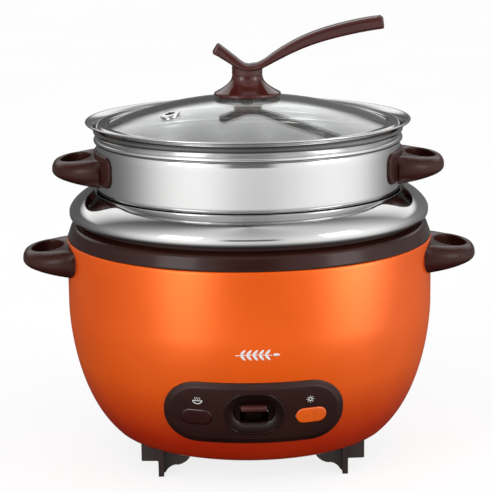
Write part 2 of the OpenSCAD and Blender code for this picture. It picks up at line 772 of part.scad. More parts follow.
outer_shell();
rim_collar();
body_handle_left();
body_handle_right();
handle_screws();
base_plate();
foot_front_left();
foot_front_right();
foot_rear_left();
foot_rear_right();
foot_screws();
heat_chamber();
heating_plate();
plate_spacers();
heater_terminals();
sensor_cup();
sensor_spring();
magnet_guide();
lift_magnet();
magnet_holder();
cook_lever();
lever_pin();
lever_spring();
switch_bracket();
microswitch();
panel_housing();
switch_bezel();
cook_lens();
warm_lens();
indicator_lamps();
lamp_board();
warm_thermostat();
thermal_fuse();
power_inlet();
inlet_blades();
inlet_screws();
internal_wiring();
inner_pot();
steamer_tray();
steamer_handle_left();
steamer_handle_right();
steamer_pads();
steamer_rivets();
lid_glass();
lid_rim();
vent_grommet();
knob_base();
knob_branch();
knob_washer();
knob_screw();
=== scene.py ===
"""Looks of the rice cooker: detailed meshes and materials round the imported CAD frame.

Lengths are in millimetres in the CAD frame (+Z up, panel towards -Y) until a Shape is made
into a mesh.
"""
from math import asin, atan2, cos, exp, hypot, pi, radians, sin, sqrt

import bmesh
import bpy
from mathutils import Euler, Matrix, Vector
from mathutils.geometry import delaunay_2d_cdt

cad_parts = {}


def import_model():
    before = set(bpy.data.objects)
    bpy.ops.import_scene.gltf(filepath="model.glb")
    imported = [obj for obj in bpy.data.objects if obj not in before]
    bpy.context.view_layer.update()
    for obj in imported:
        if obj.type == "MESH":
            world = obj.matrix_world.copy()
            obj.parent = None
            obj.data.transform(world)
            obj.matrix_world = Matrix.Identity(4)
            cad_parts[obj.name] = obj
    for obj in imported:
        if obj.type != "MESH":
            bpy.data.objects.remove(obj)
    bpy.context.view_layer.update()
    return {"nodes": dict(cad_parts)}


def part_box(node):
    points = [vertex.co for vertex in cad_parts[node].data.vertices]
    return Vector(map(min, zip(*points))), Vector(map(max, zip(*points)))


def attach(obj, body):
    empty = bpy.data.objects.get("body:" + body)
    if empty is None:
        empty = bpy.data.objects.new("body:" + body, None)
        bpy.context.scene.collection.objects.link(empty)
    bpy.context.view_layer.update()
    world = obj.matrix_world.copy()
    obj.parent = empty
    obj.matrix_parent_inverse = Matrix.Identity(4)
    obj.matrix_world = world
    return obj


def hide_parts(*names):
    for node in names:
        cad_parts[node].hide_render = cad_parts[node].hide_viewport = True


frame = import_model()
MM = 0.001


# ---------- sizes taken from the frame ----------

def low(node):
    """Lower corner of a CAD node's box."""
    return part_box(node)[0] / MM


def high(node):
    """Upper corner of a CAD node's box."""
    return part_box(node)[1] / MM


BOWL_R = 140.0
BOWL_TOP = high("outer_shell").z
BOWL_BOTTOM = low("outer_shell").z
BEND_Z = 119.6           # below this height the bowl curves in
BOWL_H = 117.6           # vertical semi-axis of the curved part
SHEET = 1.0              # painted sheet steel
RIM_R = high("inner_pot").x
RIM_TOP = high("inner_pot").z
POT_R = 117.0
POT_FLOOR = low("inner_pot").z
POT_T = 1.2
STEAM_R = 116.0
STEAM_T = 0.8
STEAM_FLOOR = low("steamer_tray").z
STEAM_SEAM = 206.8       # step that rests on the pot's rim
LIP_R = high("steamer_tray").x
LIP_Z = high("steamer_tray").z - 0.6
GLASS_R = 113.0
GLASS_TOP = high("lid_glass").z
GLASS_EDGE = 254.0       # height of the glass's upper edge
GLASS_T = 4.0
DOME_RISE = GLASS_TOP - GLASS_EDGE
DOME_R = (GLASS_R ** 2 + DOME_RISE ** 2) / (2 * DOME_RISE)
DOME_Z = GLASS_TOP - DOME_R
VENT = Vector((-58.0, -40.0))    # steam vent, seen from above
KNOB_R = high("knob_base").x
NECK_R = 11.7
BRANCH_HALF = 9.0        # half width of the branch
HANDLE_HALF = 40.0       # half length of a handle along the wall
BODY_HANDLE_X = 174.5    # tips of the handles on the body
BODY_HANDLE_Z = 153.5
STEAM_HANDLE_X = high("steamer_handle_right").x
STEAM_HANDLE_Z = 222.5
PAD_T = 1.9              # pads behind the steamer's handles
PANEL_Z = 64.0
PANEL_W = 130.0
PANEL_H = 50.0
PANEL_PROUD = 2.6        # panel's face over the bowl
SWITCH_Z = 64.5
LENS_X = 41.3            # lenses to either side of the lever
LENS_Z = 61.4
INLET_Z = 62.0
SCOOP = (55.0, 13.6, 155.8)    # half width, half height and height of the finger scoops


def bowl_r(z):
    """Outer radius of the bowl at height z."""
    if z >= BEND_Z:
        return BOWL_R
    return BOWL_R * (1 - ((BEND_Z - z) / BOWL_H) ** 1.737) ** (1 / 4.68)


# ---------- meshes ----------

class Shape:
    """Points and faces of one object, gathered loop by loop."""

    def __init__(self, points=(), faces=()):
        self.points = list(points)
        self.faces = list(faces)

    def loop(self, points):
        """Adds points and returns their indices."""
        start = len(self.points)
        self.points.extend(points)
        return list(range(start, len(self.points)))

    def bridge(self, *loops):
        """Faces between successive loops of indices."""
        for a, b in zip(loops, loops[1:]):
            for k in range(len(a)):
                n = (k + 1) % len(a)
                face = list(dict.fromkeys((a[k], a[n], b[n], b[k])))
                if len(face) > 2:
                    self.faces.append(face)

    def tube(self, rings, closed=False):
        """Skin through rings of points, joined end to end or capped."""
        loops = [self.loop(ring) for ring in rings]
        if closed:
            self.bridge(*loops, loops[0])
        else:
            self.bridge(*loops)
            self.faces += [list(reversed(loops[0])), loops[-1]]
        return self

    def stack(self, layers, place):
        """Skin through (outline, depth) layers, put in space by place(x, z, depth)."""
        loops = [self.loop([place(x, z, depth) for x, z in outline])
                 for outline, depth in layers]
        self.bridge(*loops)
        return loops[-1]

    def close(self, rim, layer, place, steps, swell=0.0):
        """Fills a layer's rim with shrinking copies that follow the surface and swell."""
        outline, depth = layer
        cx = sum(p[0] for p in outline) / len(outline)
        cz = sum(p[1] for p in outline) / len(outline)
        loops = [rim]
        for i in range(1, steps):
            t = 1 - i / steps
            rise = swell * (1 - t * t)
            loops.append(self.loop([place(cx + (x - cx) * t, cz + (z - cz) * t, depth + rise)
                                    for x, z in outline]))
        centre = self.loop([place(cx, cz, depth + swell)]) * len(outline)
        self.bridge(*loops, centre)

    def add(self, other):
        start = len(self.points)
        self.points += other.points
        self.faces += [[start + v for v in face] for face in other.faces]
        return self

    def mirrored(self):
        """The same shape on the other side of the plane X = 0."""
        return Shape([(-p[0], p[1], p[2]) for p in self.points],
                     [list(reversed(face)) for face in self.faces])

    def mesh(self, name):
        """Mesh in metres, with doubled points joined and every face turned outwards."""
        mesh = bpy.data.meshes.new(name)
        mesh.from_pydata([Vector(p) * MM for p in self.points], [], self.faces)
        mesh.validate()
        bm = bmesh.new()
        bm.from_mesh(mesh)
        bmesh.ops.remove_doubles(bm, verts=bm.verts, dist=2e-6)
        bmesh.ops.recalc_face_normals(bm, faces=bm.faces)
        bm.to_mesh(mesh)
        bm.free()
        return mesh

    def build(self, name, material, body, slot, replaces=(), sharp=32):
        """Makes the object, attaches it to its body and hides the CAD nodes it replaces; slot is
        not used.
        """
        obj = new_object(name, self.mesh(name))
        obj.data.materials.append(material)
        smooth(obj.data, sharp)
        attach(obj, body)
        if replaces:
            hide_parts(*replaces)
        return obj


def new_object(name, data):
    """Object for the data, linked to the scene."""
    obj = bpy.data.objects.new(name, data)
    bpy.context.scene.collection.objects.link(obj)
    return obj


def smooth(mesh, angle):
    """Shades smooth, with edges steeper than angle left sharp."""
    mesh.polygons.foreach_set("use_smooth", [True] * len(mesh.polygons))
    mesh.set_sharp_from_angle(angle=radians(angle))


def arc(cx, cz, r, start, end, steps=8):
    """Points of an arc in a profile, angles in degrees."""
    angles = [radians(start + (end - start) * i / steps) for i in range(steps + 1)]
    return [(cx + r * cos(a), cz + r * sin(a)) for a in angles]


def quarter(cx, cz, rx, rz, power=4 / 3, steps=28):
    """Quarter of a superellipse from its crest to its side."""
    angles = [pi / 2 * i / steps for i in range(steps + 1)]
    return [(cx + rx * sin(a) ** power, cz + rz * max(cos(a), 0) ** power) for a in angles]


def rounded(corners, steps=5):
    """Profile through (r, z, radius) corners, each rounded off by its radius."""
    points = []
    count = len(corners)
    for i, (x, z, radius) in enumerate(corners):
        here = Vector((x, z))
        before = Vector(corners[i - 1][:2])
        after = Vector(corners[(i + 1) % count][:2])
        if radius == 0:
            points.append((x, z))
            continue
        a = (before - here).normalized()
        b = (after - here).normalized()
        half = a.angle(b) / 2
        reach = min(radius / max(0.05, sin(half) / cos(half)), (before - here).length * 0.49,
                    (after - here).length * 0.49)
        for k in range(steps + 1):
            t = k / steps
            p = here + a * reach * (1 - t) ** 2 + b * reach * t ** 2
            points.append((p.x, p.y))
    return points


def circle(r, count, cx=0.0, cy=0.0):
    """Points of a circle, starting on the +X side."""
    angles = [2 * pi * k / count for k in range(count)]
    return [(cx + r * cos(a), cy + r * sin(a)) for a in angles]


def revolve(profile, segments=192, closed=True, angles=None):
    """Shape of a (radius, height) profile turned round the Z axis."""
    angles = angles or [2 * pi * k / segments for k in range(segments)]
    shape = Shape()
    rings = []
    for r, z in profile:
        if r < 1e-6:
            rings.append(shape.loop([(0, 0, z)]) * len(angles))
        else:
            rings.append(shape.loop([(r * cos(a), r * sin(a), z) for a in angles]))
    shape.bridge(*rings, *(rings[:1] if closed else []))
    return shape


def lathe(name, profile, material, body, slot, replaces=(), segments=192, sharp=32,
          closed=True):
    """Makes the object that revolve() gives."""
    return revolve(profile, segments, closed).build(name, material, body, slot, replaces, sharp)


def pill(w, h, r, cx=0.0, cz=0.0, arc_steps=12, long_steps=24, short_steps=4):
    """Rounded rectangle as a loop of points; equal steps give matching loops."""
    r = min(r, w / 2, h / 2)
    corners = [(cx + w / 2 - r, cz + h / 2 - r, 0), (cx - w / 2 + r, cz + h / 2 - r, 90),
               (cx - w / 2 + r, cz - h / 2 + r, 180), (cx + w / 2 - r, cz - h / 2 + r, 270)]
    loop = []
    for i, (x, z, start) in enumerate(corners):
        loop.extend(arc(x, z, r, start, start + 90, arc_steps))
        nx, nz, nstart = corners[(i + 1) % 4]
        last = Vector(loop[-1])
        first = Vector((nx + r * cos(radians(nstart)), nz + r * sin(radians(nstart))))
        steps = long_steps if i % 2 == 0 else short_steps
        for k in range(1, steps):
            p = last.lerp(first, k / steps)
            loop.append((p.x, p.y))
    return loop


def inside_pill(x, z, w, h, r, cx=0.0, cz=0.0, margin=0.0):
    """True where (x, z) lies in the rounded rectangle, grown by margin."""
    dx = max(abs(x - cx) - (w / 2 - r), 0)
    dz = max(abs(z - cz) - (h / 2 - r), 0)
    return hypot(dx, dz) <= r + margin


def on_bowl(x, z, d):
    """Point on the bowl's front at (x, z), moved outwards by d."""
    return (x, -sqrt(max((bowl_r(z) + d) ** 2 - x * x, 0)), z)


def plate_with_holes(outer, holes, spacing, keep):
    """Triangles between an outer loop and hole loops, on a grid where keep(x, z) is true."""
    points = [Vector(p) for p in outer]
    edges = [(k, (k + 1) % len(outer)) for k in range(len(outer))]
    for loop in holes:
        start = len(points)
        points.extend(Vector(p) for p in loop)
        edges.extend((start + k, start + (k + 1) % len(loop)) for k in range(len(loop)))
    xs = [p[0] for p in outer]
    zs = [p[1] for p in outer]
    columns = int((max(xs) - min(xs)) / spacing)
    rows = int((max(zs) - min(zs)) / spacing)
    for i in range(1, columns):
        for j in range(1, rows):
            x = min(xs) + (max(xs) - min(xs)) * i / columns
            z = min(zs) + (max(zs) - min(zs)) * j / rows
            if keep(x, z, spacing * 0.55):
                points.append(Vector((x, z)))
    flat, _, triangles, origins, _, _ = delaunay_2d_cdt(points, edges, [], 0, 1e-5)
    index = {}
    for new, old in enumerate(origins):
        for o in old:
            index[o] = new
    kept = []
    for triangle in triangles:
        cx = sum(flat[v].x for v in triangle) / len(triangle)
        cz = sum(flat[v].y for v in triangle) / len(triangle)
        if keep(cx, cz, 0):
            kept.append(list(triangle))
    return [(p.x, p.y) for p in flat], kept, index


def holed_face(shape, outline, depth, holes, wall_depth, spacing, keep):
    """Adds a face on the bowl with holes in it, and a wall inwards round each hole."""
    flat, triangles, index = plate_with_holes(outline, holes, spacing, keep)
    face = shape.loop([on_bowl(x, z, depth) for x, z in flat])
    shape.faces += [[face[v] for v in triangle] for triangle in triangles]
    offset = len(outline)
    for hole in holes:
        top = [face[index[offset + k]] for k in range(len(hole))]
        shape.bridge(top, shape.loop([on_bowl(x, z, wall_depth) for x, z in hole]))
        offset += len(hole)


def cut(obj, shape, sharp=40):
    """Takes a closed shape out of obj."""
    cutter = new_object("cutter", shape.mesh("cutter"))
    modifier = obj.modifiers.new("cut", "BOOLEAN")
    modifier.operation = "DIFFERENCE"
    modifier.solver = "EXACT"
    modifier.object = cutter
    bpy.context.view_layer.update()
    graph = bpy.context.evaluated_depsgraph_get()
    result = bpy.data.meshes.new_from_object(obj.evaluated_get(graph))
    obj.modifiers.clear()
    old = obj.data
    obj.data = result
    result.name = old.name
    bpy.data.meshes.remove(old)
    bpy.data.objects.remove(cutter)
    smooth(result, sharp)


def prism_y(outline, y0, y1):
    """Closed prism along Y from an outline in X and Z."""
    return Shape().tube([[(x, y, z) for x, z in outline] for y in (y0, y1)])


# ---------- materials ----------

class Graph:
    """Shader nodes made in one call each; an input takes a value or a node's output."""

    def __init__(self, tree):
        self.nodes = tree.nodes
        self.links = tree.links

    def feed(self, socket, value):
        if isinstance(value, bpy.types.NodeSocket):
            self.links.new(value, socket)
        else:
            socket.default_value = value

    def add(self, kind, *values, **named):
        """New node: values fill its first inputs; names are settings, or inputs if capitalised."""
        node = self.nodes.new("ShaderNode" + kind)
        for key in [key for key in named if key[0].islower()]:
            setattr(node, key, named.pop(key))
        for key, value in named.items():
            self.feed(node.inputs[key.replace("_", " ")], value)
        for socket, value in zip(node.inputs, values):
            self.feed(socket, value)
        return node

    def math(self, operation, *values):
        return self.add("Math", *values, operation=operation).outputs[0]

    def parts(self, vector):
        """X, Y and Z of a vector."""
        return self.add("SeparateXYZ", vector).outputs

    def length(self, vector):
        return self.add("VectorMath", vector, operation="LENGTH").outputs["Value"]

    def spread(self, source, start, end, first=0.0, last=1.0, curve="LINEAR"):
        """Maps the range start to end of a source onto first to last."""
        return self.add("MapRange", source, start, end, first, last,
                        interpolation_type=curve).outputs["Result"]

    def tones(self, source, stops, curve="LINEAR"):
        """Colours through (position, colour) stops."""
        node = self.add("ValToRGB", source)
        node.color_ramp.interpolation = curve
        elements = node.color_ramp.elements
        elements.remove(elements[1])
        elements[0].position = stops[0][0]
        elements[0].color = (*stops[0][1], 1)
        for position, colour in stops[1:]:
            elements.new(position).color = (*colour, 1)
        return node.outputs["Color"]


class Finish(Graph):
    """Node material whose colour, gloss and relief vary over the surface."""

    def __init__(self, name, colour, roughness, metallic=0.0, **sockets):
        self.material = bpy.data.materials.new(name)
        self.material.use_nodes = True
        super().__init__(self.material.node_tree)
        self.shader = self.nodes["Principled BSDF"]
        sockets.update(Base_Color=(*colour, 1), Roughness=roughness, Metallic=metallic)
        for socket, value in sockets.items():
            self.shader.inputs[socket.replace("_", " ")].default_value = value
        self.normal = None
        self.coordinates = self.add("TexCoord").outputs["Object"]

    def turned(self, along=1.0):
        """Coordinates in which lathe marks are rings: (radius, height, slow drift)."""
        x, y, z = self.parts(self.coordinates)
        radius = self.length(self.add("CombineXYZ", x, y).outputs[0])
        drift = self.math("MULTIPLY", self.math("ARCTAN2", y, x), 0.001 * along)
        self.coordinates = self.add("CombineXYZ", radius, z, drift).outputs[0]
        return self

    def noise(self, scale, detail=3.0, stretch=(1, 1, 1)):
        """Noise with features of about 1/scale metres."""
        place = self.add("Mapping", self.coordinates, Scale=stretch).outputs[0]
        return self.add("TexNoise", place, Scale=scale, Detail=detail).outputs["Fac"]

    def height(self):
        """Height over the ground."""
        return self.parts(self.coordinates)["Z"]

    def oval_share(self):
        """Below one inside the finger scoops at the sides."""
        half_y, half_z, middle = (v * MM for v in SCOOP)
        place = self.add("Mapping", self.coordinates, Scale=(0, 1 / half_y, 1 / half_z),
                         Location=(0, 0, -middle / half_z))
        return self.length(place.outputs[0])

    def two_tones(self, source, dark, light):
        return self.tones(source, ((0.35, dark), (0.65, light)))

    def tint(self, source, dark, light):
        """Base colour between two tones."""
        self.feed(self.shader.inputs["Base Color"], self.two_tones(source, dark, light))
        return self

    def blend(self, share, source, first, second):
        """Base colour that goes from one pair of tones to another with share."""
        mix = self.add("Mix", share, data_type="RGBA")
        self.feed(mix.inputs[6], self.two_tones(source, *first))
        self.feed(mix.inputs[7], self.two_tones(source, *second))
        self.feed(self.shader.inputs["Base Color"], mix.outputs[2])
        return self

    def gloss(self, source, smoothest, roughest):
        """Roughness that drifts over the surface."""
        drift = self.spread(source, 0.3, 0.7, smoothest, roughest)
        self.feed(self.shader.inputs["Roughness"], drift)
        return self

    def relief(self, source, height, strength=1.0):
        """Adds bump of the given height in metres on top of any bump so far."""
        node = self.add("Bump", Strength=strength, Distance=height, Height=source)
        if self.normal:
            self.feed(node.inputs["Normal"], self.normal)
        self.normal = node.outputs["Normal"]
        self.feed(self.shader.inputs["Normal"], self.normal)
        return self

    def glow(self, colour, strength):
        """Light given off by the surface."""
        self.shader.inputs["Emission Color"].default_value = (*colour, 1)
        self.shader.inputs["Emission Strength"].default_value = strength
        return self


def paint():
    """Satin paint with painted shade: deeper red low on the bowl, and half-way to it in the finger
    scoops.
    """
    f = Finish("satin_orange_paint", (0.76, 0.095, 0.006), 0.36, 0.12, IOR=1.5,
               Specular_IOR_Level=0.3, Specular_Tint=(1.0, 0.95, 0.42, 1.0))
    # Painted shade: below about 82 mm and inside the finger scoops the colour turns to the deep
    # red pair of tones, which stands in for shade.
    painted_shade_low = f.spread(f.height(), 0.035, 0.082)
    painted_shade_in_scoop = f.spread(f.oval_share(), 0.86, 1.04, 0.5, 1.0)
    f.blend(f.math("MINIMUM", painted_shade_low, painted_shade_in_scoop), f.noise(14, 4),
            ((0.50, 0.022, 0.004), (0.56, 0.028, 0.005)),
            ((0.74, 0.086, 0.004), (0.80, 0.098, 0.006)))
    f.gloss(f.noise(30, 5), 0.34, 0.40)
    f.relief(f.noise(900, 2), 0.00002, 0.35)
    f.relief(f.noise(5200, 2), 0.000006, 0.5)
    return f.material


def plastic(name, dark, light, smoothest, roughest, **sockets):
    """Moulded plastic: faint flow tone, uneven gloss and a fine moulded skin."""
    f = Finish(name, light, roughest, IOR=1.5, **sockets)
    f.tint(f.noise(25, 4, (1, 1, 2.5)), dark, light)
    f.gloss(f.noise(60, 5), smoothest, roughest)
    f.relief(f.noise(700, 3), 0.00001, 0.3)
    f.relief(f.noise(4200, 2), 0.000005, 0.4)
    return f.material


def steel(name, tone, smoothest, roughest, lines=0.0, **sockets):
    """Spun steel: ring-shaped polishing lines, faint smears and uneven gloss."""
    f = Finish(name, (tone, tone, tone), roughest, 1.0, **sockets)
    f.turned(40)
    dark = tone * 0.95
    f.tint(f.noise(9, 4), (dark, dark, dark * 0.99), (tone, tone, tone * 0.995))
    f.gloss(f.noise(22, 6, (1, 1, 3)), smoothest, roughest)
    if lines:
        f.relief(f.noise(2600, 3, (1, 1, 0.01)), 0.000004, lines)
    return f.material


def sheet_metal(name, colour, smoothest, roughest):
    """Plated or cast metal with a mottled skin."""
    f = Finish(name, colour, roughest, 1.0)
    dark = tuple(c * 0.82 for c in colour)
    f.tint(f.noise(120, 5), dark, colour)
    f.gloss(f.noise(240, 4), smoothest, roughest)
    f.relief(f.noise(1500, 3), 0.00001, 0.4)
    return f.material


def clear_glass():
    """Clear glass with the faintest unevenness."""
    f = Finish("clear_glass", (0.965, 0.99, 0.982), 0.0, IOR=1.47, Transmission_Weight=1.0)
    f.gloss(f.noise(18, 4), 0.0, 0.012)
    f.relief(f.noise(9, 1), 0.00001, 0.1)
    return f.material


def lens(name, dark, light, glow=None, glow_strength=0.0):
    """Translucent lens with a fine prismatic grain."""
    f = Finish(name, light, 0.2, IOR=1.49, Coat_Weight=0.6, Coat_Roughness=0.06)
    f.tint(f.noise(150, 4), dark, light)
    f.gloss(f.noise(90, 4), 0.16, 0.26)
    f.relief(f.noise(1100, 2), 0.00001, 0.35)
    if glow:
        f.glow(glow, glow_strength)
    return f.material


def grained(name, dark, light, smoothest, roughest, scale, height):
    """Non-metal with visible grain, such as ceramic, board, rubber or ferrite."""
    f = Finish(name, light, roughest)
    f.tint(f.noise(scale, 5), dark, light)
    f.gloss(f.noise(scale * 2, 4), smoothest, roughest)
    f.relief(f.noise(scale * 6, 3), height, 0.5)
    return f.material


PAINT = paint()
BROWN = plastic("brown_gloss_plastic", (0.034, 0.0085, 0.0060), (0.044, 0.0115, 0.0080),
                0.24, 0.31, Specular_IOR_Level=0.17)
KNOB_BROWN = plastic("brown_polished_plastic", (0.050, 0.0085, 0.0065),
                     (0.068, 0.0115, 0.0085), 0.06, 0.10, Specular_IOR_Level=0.42)
COLLAR_BROWN = plastic("brown_satin_plastic", (0.026, 0.0070, 0.0050),
                       (0.034, 0.0095, 0.0070), 0.16, 0.21, Specular_IOR_Level=0.2)
PANEL_BROWN = plastic("brown_matte_plastic", (0.026, 0.0085, 0.0070), (0.034, 0.0115, 0.0090),
                      0.30, 0.38, Specular_IOR_Level=0.26)
BEZEL_BROWN = plastic("bezel_gloss_plastic", (0.014, 0.0045, 0.0038), (0.020, 0.0060, 0.0050),
                      0.09, 0.14, Specular_IOR_Level=0.36)
FOOT_BROWN = plastic("foot_plastic", (0.018, 0.0070, 0.0055), (0.026, 0.0100, 0.0080),
                     0.36, 0.46)
BLACK = plastic("black_moulded_plastic", (0.012, 0.012, 0.012), (0.018, 0.018, 0.018),
                0.4, 0.5)
STEAM_STEEL = steel("spun_steel_satin", 0.60, 0.12, 0.19, 0.35)
POT_STEEL = steel("spun_steel_mirror", 0.58, 0.05, 0.10, 0.12)
LID_STEEL = steel("rolled_steel", 0.60, 0.07, 0.12, 0.15)
LINER = steel("liner_sheet", 0.62, 0.30, 0.42, 0.6)
TURNED = steel("turned_aluminium", 0.66, 0.26, 0.38, 0.9)
PLATED = sheet_metal("zinc_plated_steel", (0.60, 0.60, 0.59), 0.26, 0.40)
BRASS = sheet_metal("plated_brass", (0.78, 0.57, 0.25), 0.2, 0.32)
GLASS = clear_glass()
RED_LENS = lens("red_lens", (0.030, 0.0030, 0.0030), (0.045, 0.0045, 0.0040))
ORANGE_LENS = lens("orange_lens", (0.62, 0.088, 0.004), (0.72, 0.110, 0.006),
                   (0.90, 0.12, 0.006), 0.16)
LAMP = lens("lamp_envelope", (0.85, 0.60, 0.35), (0.95, 0.75, 0.50))
PRINT = grained("panel_print", (0.72, 0.71, 0.69), (0.84, 0.83, 0.81), 0.4, 0.5, 400, 0.000004)
CERAMIC = grained("ceramic", (0.74, 0.70, 0.61), (0.84, 0.81, 0.73), 0.25, 0.4, 90, 0.00002)
FERRITE = grained("ferrite", (0.030, 0.030, 0.033), (0.060, 0.060, 0.065), 0.5, 0.65, 200,
                  0.00003)
BOARD = grained("printed_board", (0.030, 0.16, 0.06), (0.050, 0.24, 0.09), 0.35, 0.5, 180,
                0.00001)
SLEEVE = grained("silicone_sleeve", (0.62, 0.59, 0.53), (0.74, 0.71, 0.65), 0.5, 0.62, 220,
                 0.00002)


# ---------- housing ----------

def scoop(x, y, z):
    """Depth of the finger scoop in the bowl behind a body handle."""
    if abs(x) < 60:
        return 0.0
    rho = abs(y / SCOOP[0]) ** 2.4 + abs((z - SCOOP[2]) / SCOOP[1]) ** 2.4
    return 3.6 * (1 - rho) ** 0.42 if rho < 1 else 0.0


def side_angles():
    """Angles round the bowl, closer together at the handles' scoops."""
    angles = []
    for start, steps in ((-28, 80), (28, 62), (152, 80), (208, 62)):
        span = 56 if steps == 80 else 124
        angles.extend(radians(start + span * k / steps) for k in range(steps))
    return angles


def build_shell():
    """Painted bowl, with finger scoops at its sides and openings for panel and inlet."""
    inner_r = 97
    curve = [BOWL_BOTTOM + 1.4 + (BEND_Z - BOWL_BOTTOM - 1.4) * (k / 40) for k in range(41)]
    straight = [BEND_Z + (BOWL_TOP - 1 - BEND_Z) * k / 36 for k in range(1, 37)]
    side = curve + straight
    foot = bowl_r(side[0])
    profile = [(inner_r, BOWL_BOTTOM), (foot - 3.4, BOWL_BOTTOM), (foot - 1.6, BOWL_BOTTOM + 0.3)]
    profile += [(bowl_r(z), z) for z in side]
    profile += arc(BOWL_R - 1, BOWL_TOP - 1, 1, 0, 90, 4)[1:]
    profile += [(BOWL_R - 8, BOWL_TOP), (BOWL_R - 8, BOWL_TOP - SHEET)]
    profile += [(bowl_r(z) - SHEET, z) for z in reversed(side[1:-1])]
    profile += [(foot - 3.4, BOWL_BOTTOM + SHEET), (inner_r, BOWL_BOTTOM + SHEET)]
    shape = revolve(profile, angles=side_angles())
    for i, (x, y, z) in enumerate(shape.points):
        depth = scoop(x, y, z) if hypot(x, y) > BOWL_R - 3 else 0.0
        scale = 1 - depth / max(hypot(x, y), 1)
        shape.points[i] = (x * scale, y * scale, z)
    shell = shape.build("outer_shell_skin", PAINT, "housing", "orange_paint", ["outer_shell"],
                        40)
    cut(shell, prism_y(pill(PANEL_W - 14, PANEL_H - 14, 17.9, 0, PANEL_Z), -170, -60))
    cut(shell, prism_y(pill(30.4, 24.4, 3, 0, INLET_Z), 60, 170))


def build_collar():
    """Ring between the shell's edge and the liner, leaning inwards."""
    inner_r = 125.2
    bottom = low("rim_collar").z
    top = high("rim_collar").z
    profile = [(inner_r, bottom), (BOWL_R - 8.1, bottom), (BOWL_R - 8.1, BOWL_TOP + 0.02)]
    profile += [(BOWL_R - 1.2, BOWL_TOP + 0.02), (BOWL_R - 0.5, BOWL_TOP + 0.4)]
    profile += [(BOWL_R - 0.4, BOWL_TOP + 0.9), (BOWL_R - 0.6, BOWL_TOP + 1.6)]
    profile += arc(BOWL_R - 7.9, BOWL_TOP + 6.7, 5.2, 12, 82, 20)
    profile += rounded([(130.2, BOWL_TOP + 11.6, 1), (130, top, 0.6), (inner_r, top, 0.6)], 3)
    lathe("rim_collar_ring", profile, COLLAR_BROWN, "housing", "brown_plastic", ["rim_collar"])


def oval(a, depth, half, power):
    """Point of a superellipse arc at the angle a in degrees."""
    c = max(cos(radians(a)), 0)
    s = sin(radians(a))
    return Vector((depth * c ** power, half * abs(s) ** power * (1 if s >= 0 else -1)))


def root_angle(depth, half, power, offset, wall):
    """Angle at which an outline meets the wall."""
    lower, upper = 30.0, 90.0
    for _ in range(30):
        a = (lower + upper) / 2
        p = oval(a, depth, half, power)
        if hypot(p.x + offset, p.y) > wall:
            lower = a
        else:
            upper = a
    return lower


def handle_outline(tip_x, wall, root):
    """Closed plan of the handle: a D whose flat side lies inside the wall."""
    start = wall - 10
    end = root_angle(tip_x - start, HANDLE_HALF, 0.87, start, root)
    line = [oval(end * (k / 60 - 1), tip_x - start, HANDLE_HALF, 0.87) for k in range(121)]
    line = [Vector((start + p.x, p.y)) for p in line]
    span = atan2(line[-1].y, line[-1].x)
    line += [Vector((root * cos(span * (1 - k / 15)), root * sin(span * (1 - k / 15))))
             for k in range(1, 30)]
    return line


def along_ray(line, centre, a):
    """Where the ray from the centre at the angle a leaves the closed line."""
    ray = Vector((cos(a), sin(a)))
    side = Vector((-ray.y, ray.x))
    best = None
    for p, q in zip(line, line[1:] + line[:1]):
        dp, dq = (p - centre).dot(side), (q - centre).dot(side)
        if dp * dq > 0 or dp == dq:
            continue
        hit = p.lerp(q, dp / (dp - dq))
        reach = (hit - centre).dot(ray)
        if reach > 0 and (best is None or reach > (best - centre).dot(ray)):
            best = hit
    return best


def loop_handle(tip_x, tip_z, wall, hole, embed, drop):
    """The handle on the +X side, as sections round its finger hole."""
    near_x, far_x, half = hole
    centre = Vector(((near_x + far_x) / 2, 0))
    outline = handle_outline(tip_x, wall, wall - embed)
    rings = []
    for c, d in circle(1, 112):
        inner = centre + Vector(((far_x - near_x) / 2 * c, half * d))
        turn = atan2(inner.y - centre.y, inner.x - centre.x)
        outer = along_ray(outline, centre, turn)
        free = min(1.0, max(0.0, (outer.length - wall + embed) / (embed + 2)))
        ring = handle_section(inner, outer, tip_x, tip_x - wall, free, drop)
        rings.append([(p.x, p.y, tip_z + z) for p, z in ring])
    return Shape().tube(rings, closed=True)


def handle_section(inner, outer, tip_x, span, free, drop):
    """Ring of (plan point, height) round the bar; free is 0 where it lies in the wall."""
    width = (outer - inner).length
    edge = min(1.5, width * 0.3)
    top_inset = min(12.0, width - edge - 0.3) * (0.1 + 0.9 * free)
    low_inset = min(9.0, width - edge - 0.2) * (0.1 + 0.9 * free)
    ring = []
    for k in range(12, 0, -1):
        a = pi / 2 * k / 12
        ring.append((top_inset * (1 - cos(a)), sin(a) ** 0.85, 0, 0))
    for k in range(0, 13):
        a = pi / 2 * k / 12
        ring.append((low_inset * (1 - cos(a)), 0, sin(a) ** 0.85, 0))
    for k in range(1, 6):
        a = pi / 2 * k / 5
        ring.append((width - edge * (1 - sin(a)), 0, 1, edge * (1 - cos(a))))
    for k in range(5, 0, -1):
        a = pi / 2 * k / 5
        ring.append((width - edge * (1 - sin(a)), 1, 0, -edge * (1 - cos(a))))
    placed = []
    for inset, up, down, shift in ring:
        p = outer.lerp(inner, inset / width)
        t = min(1.0, max(0.0, (tip_x - p.x) / span))
        over = 7.4 + 3.0 * t ** 1.3
        under = 4.2 + (drop - 4.2) * t ** 0.9
        placed.append((p, up * over - down * under + shift))
    return placed


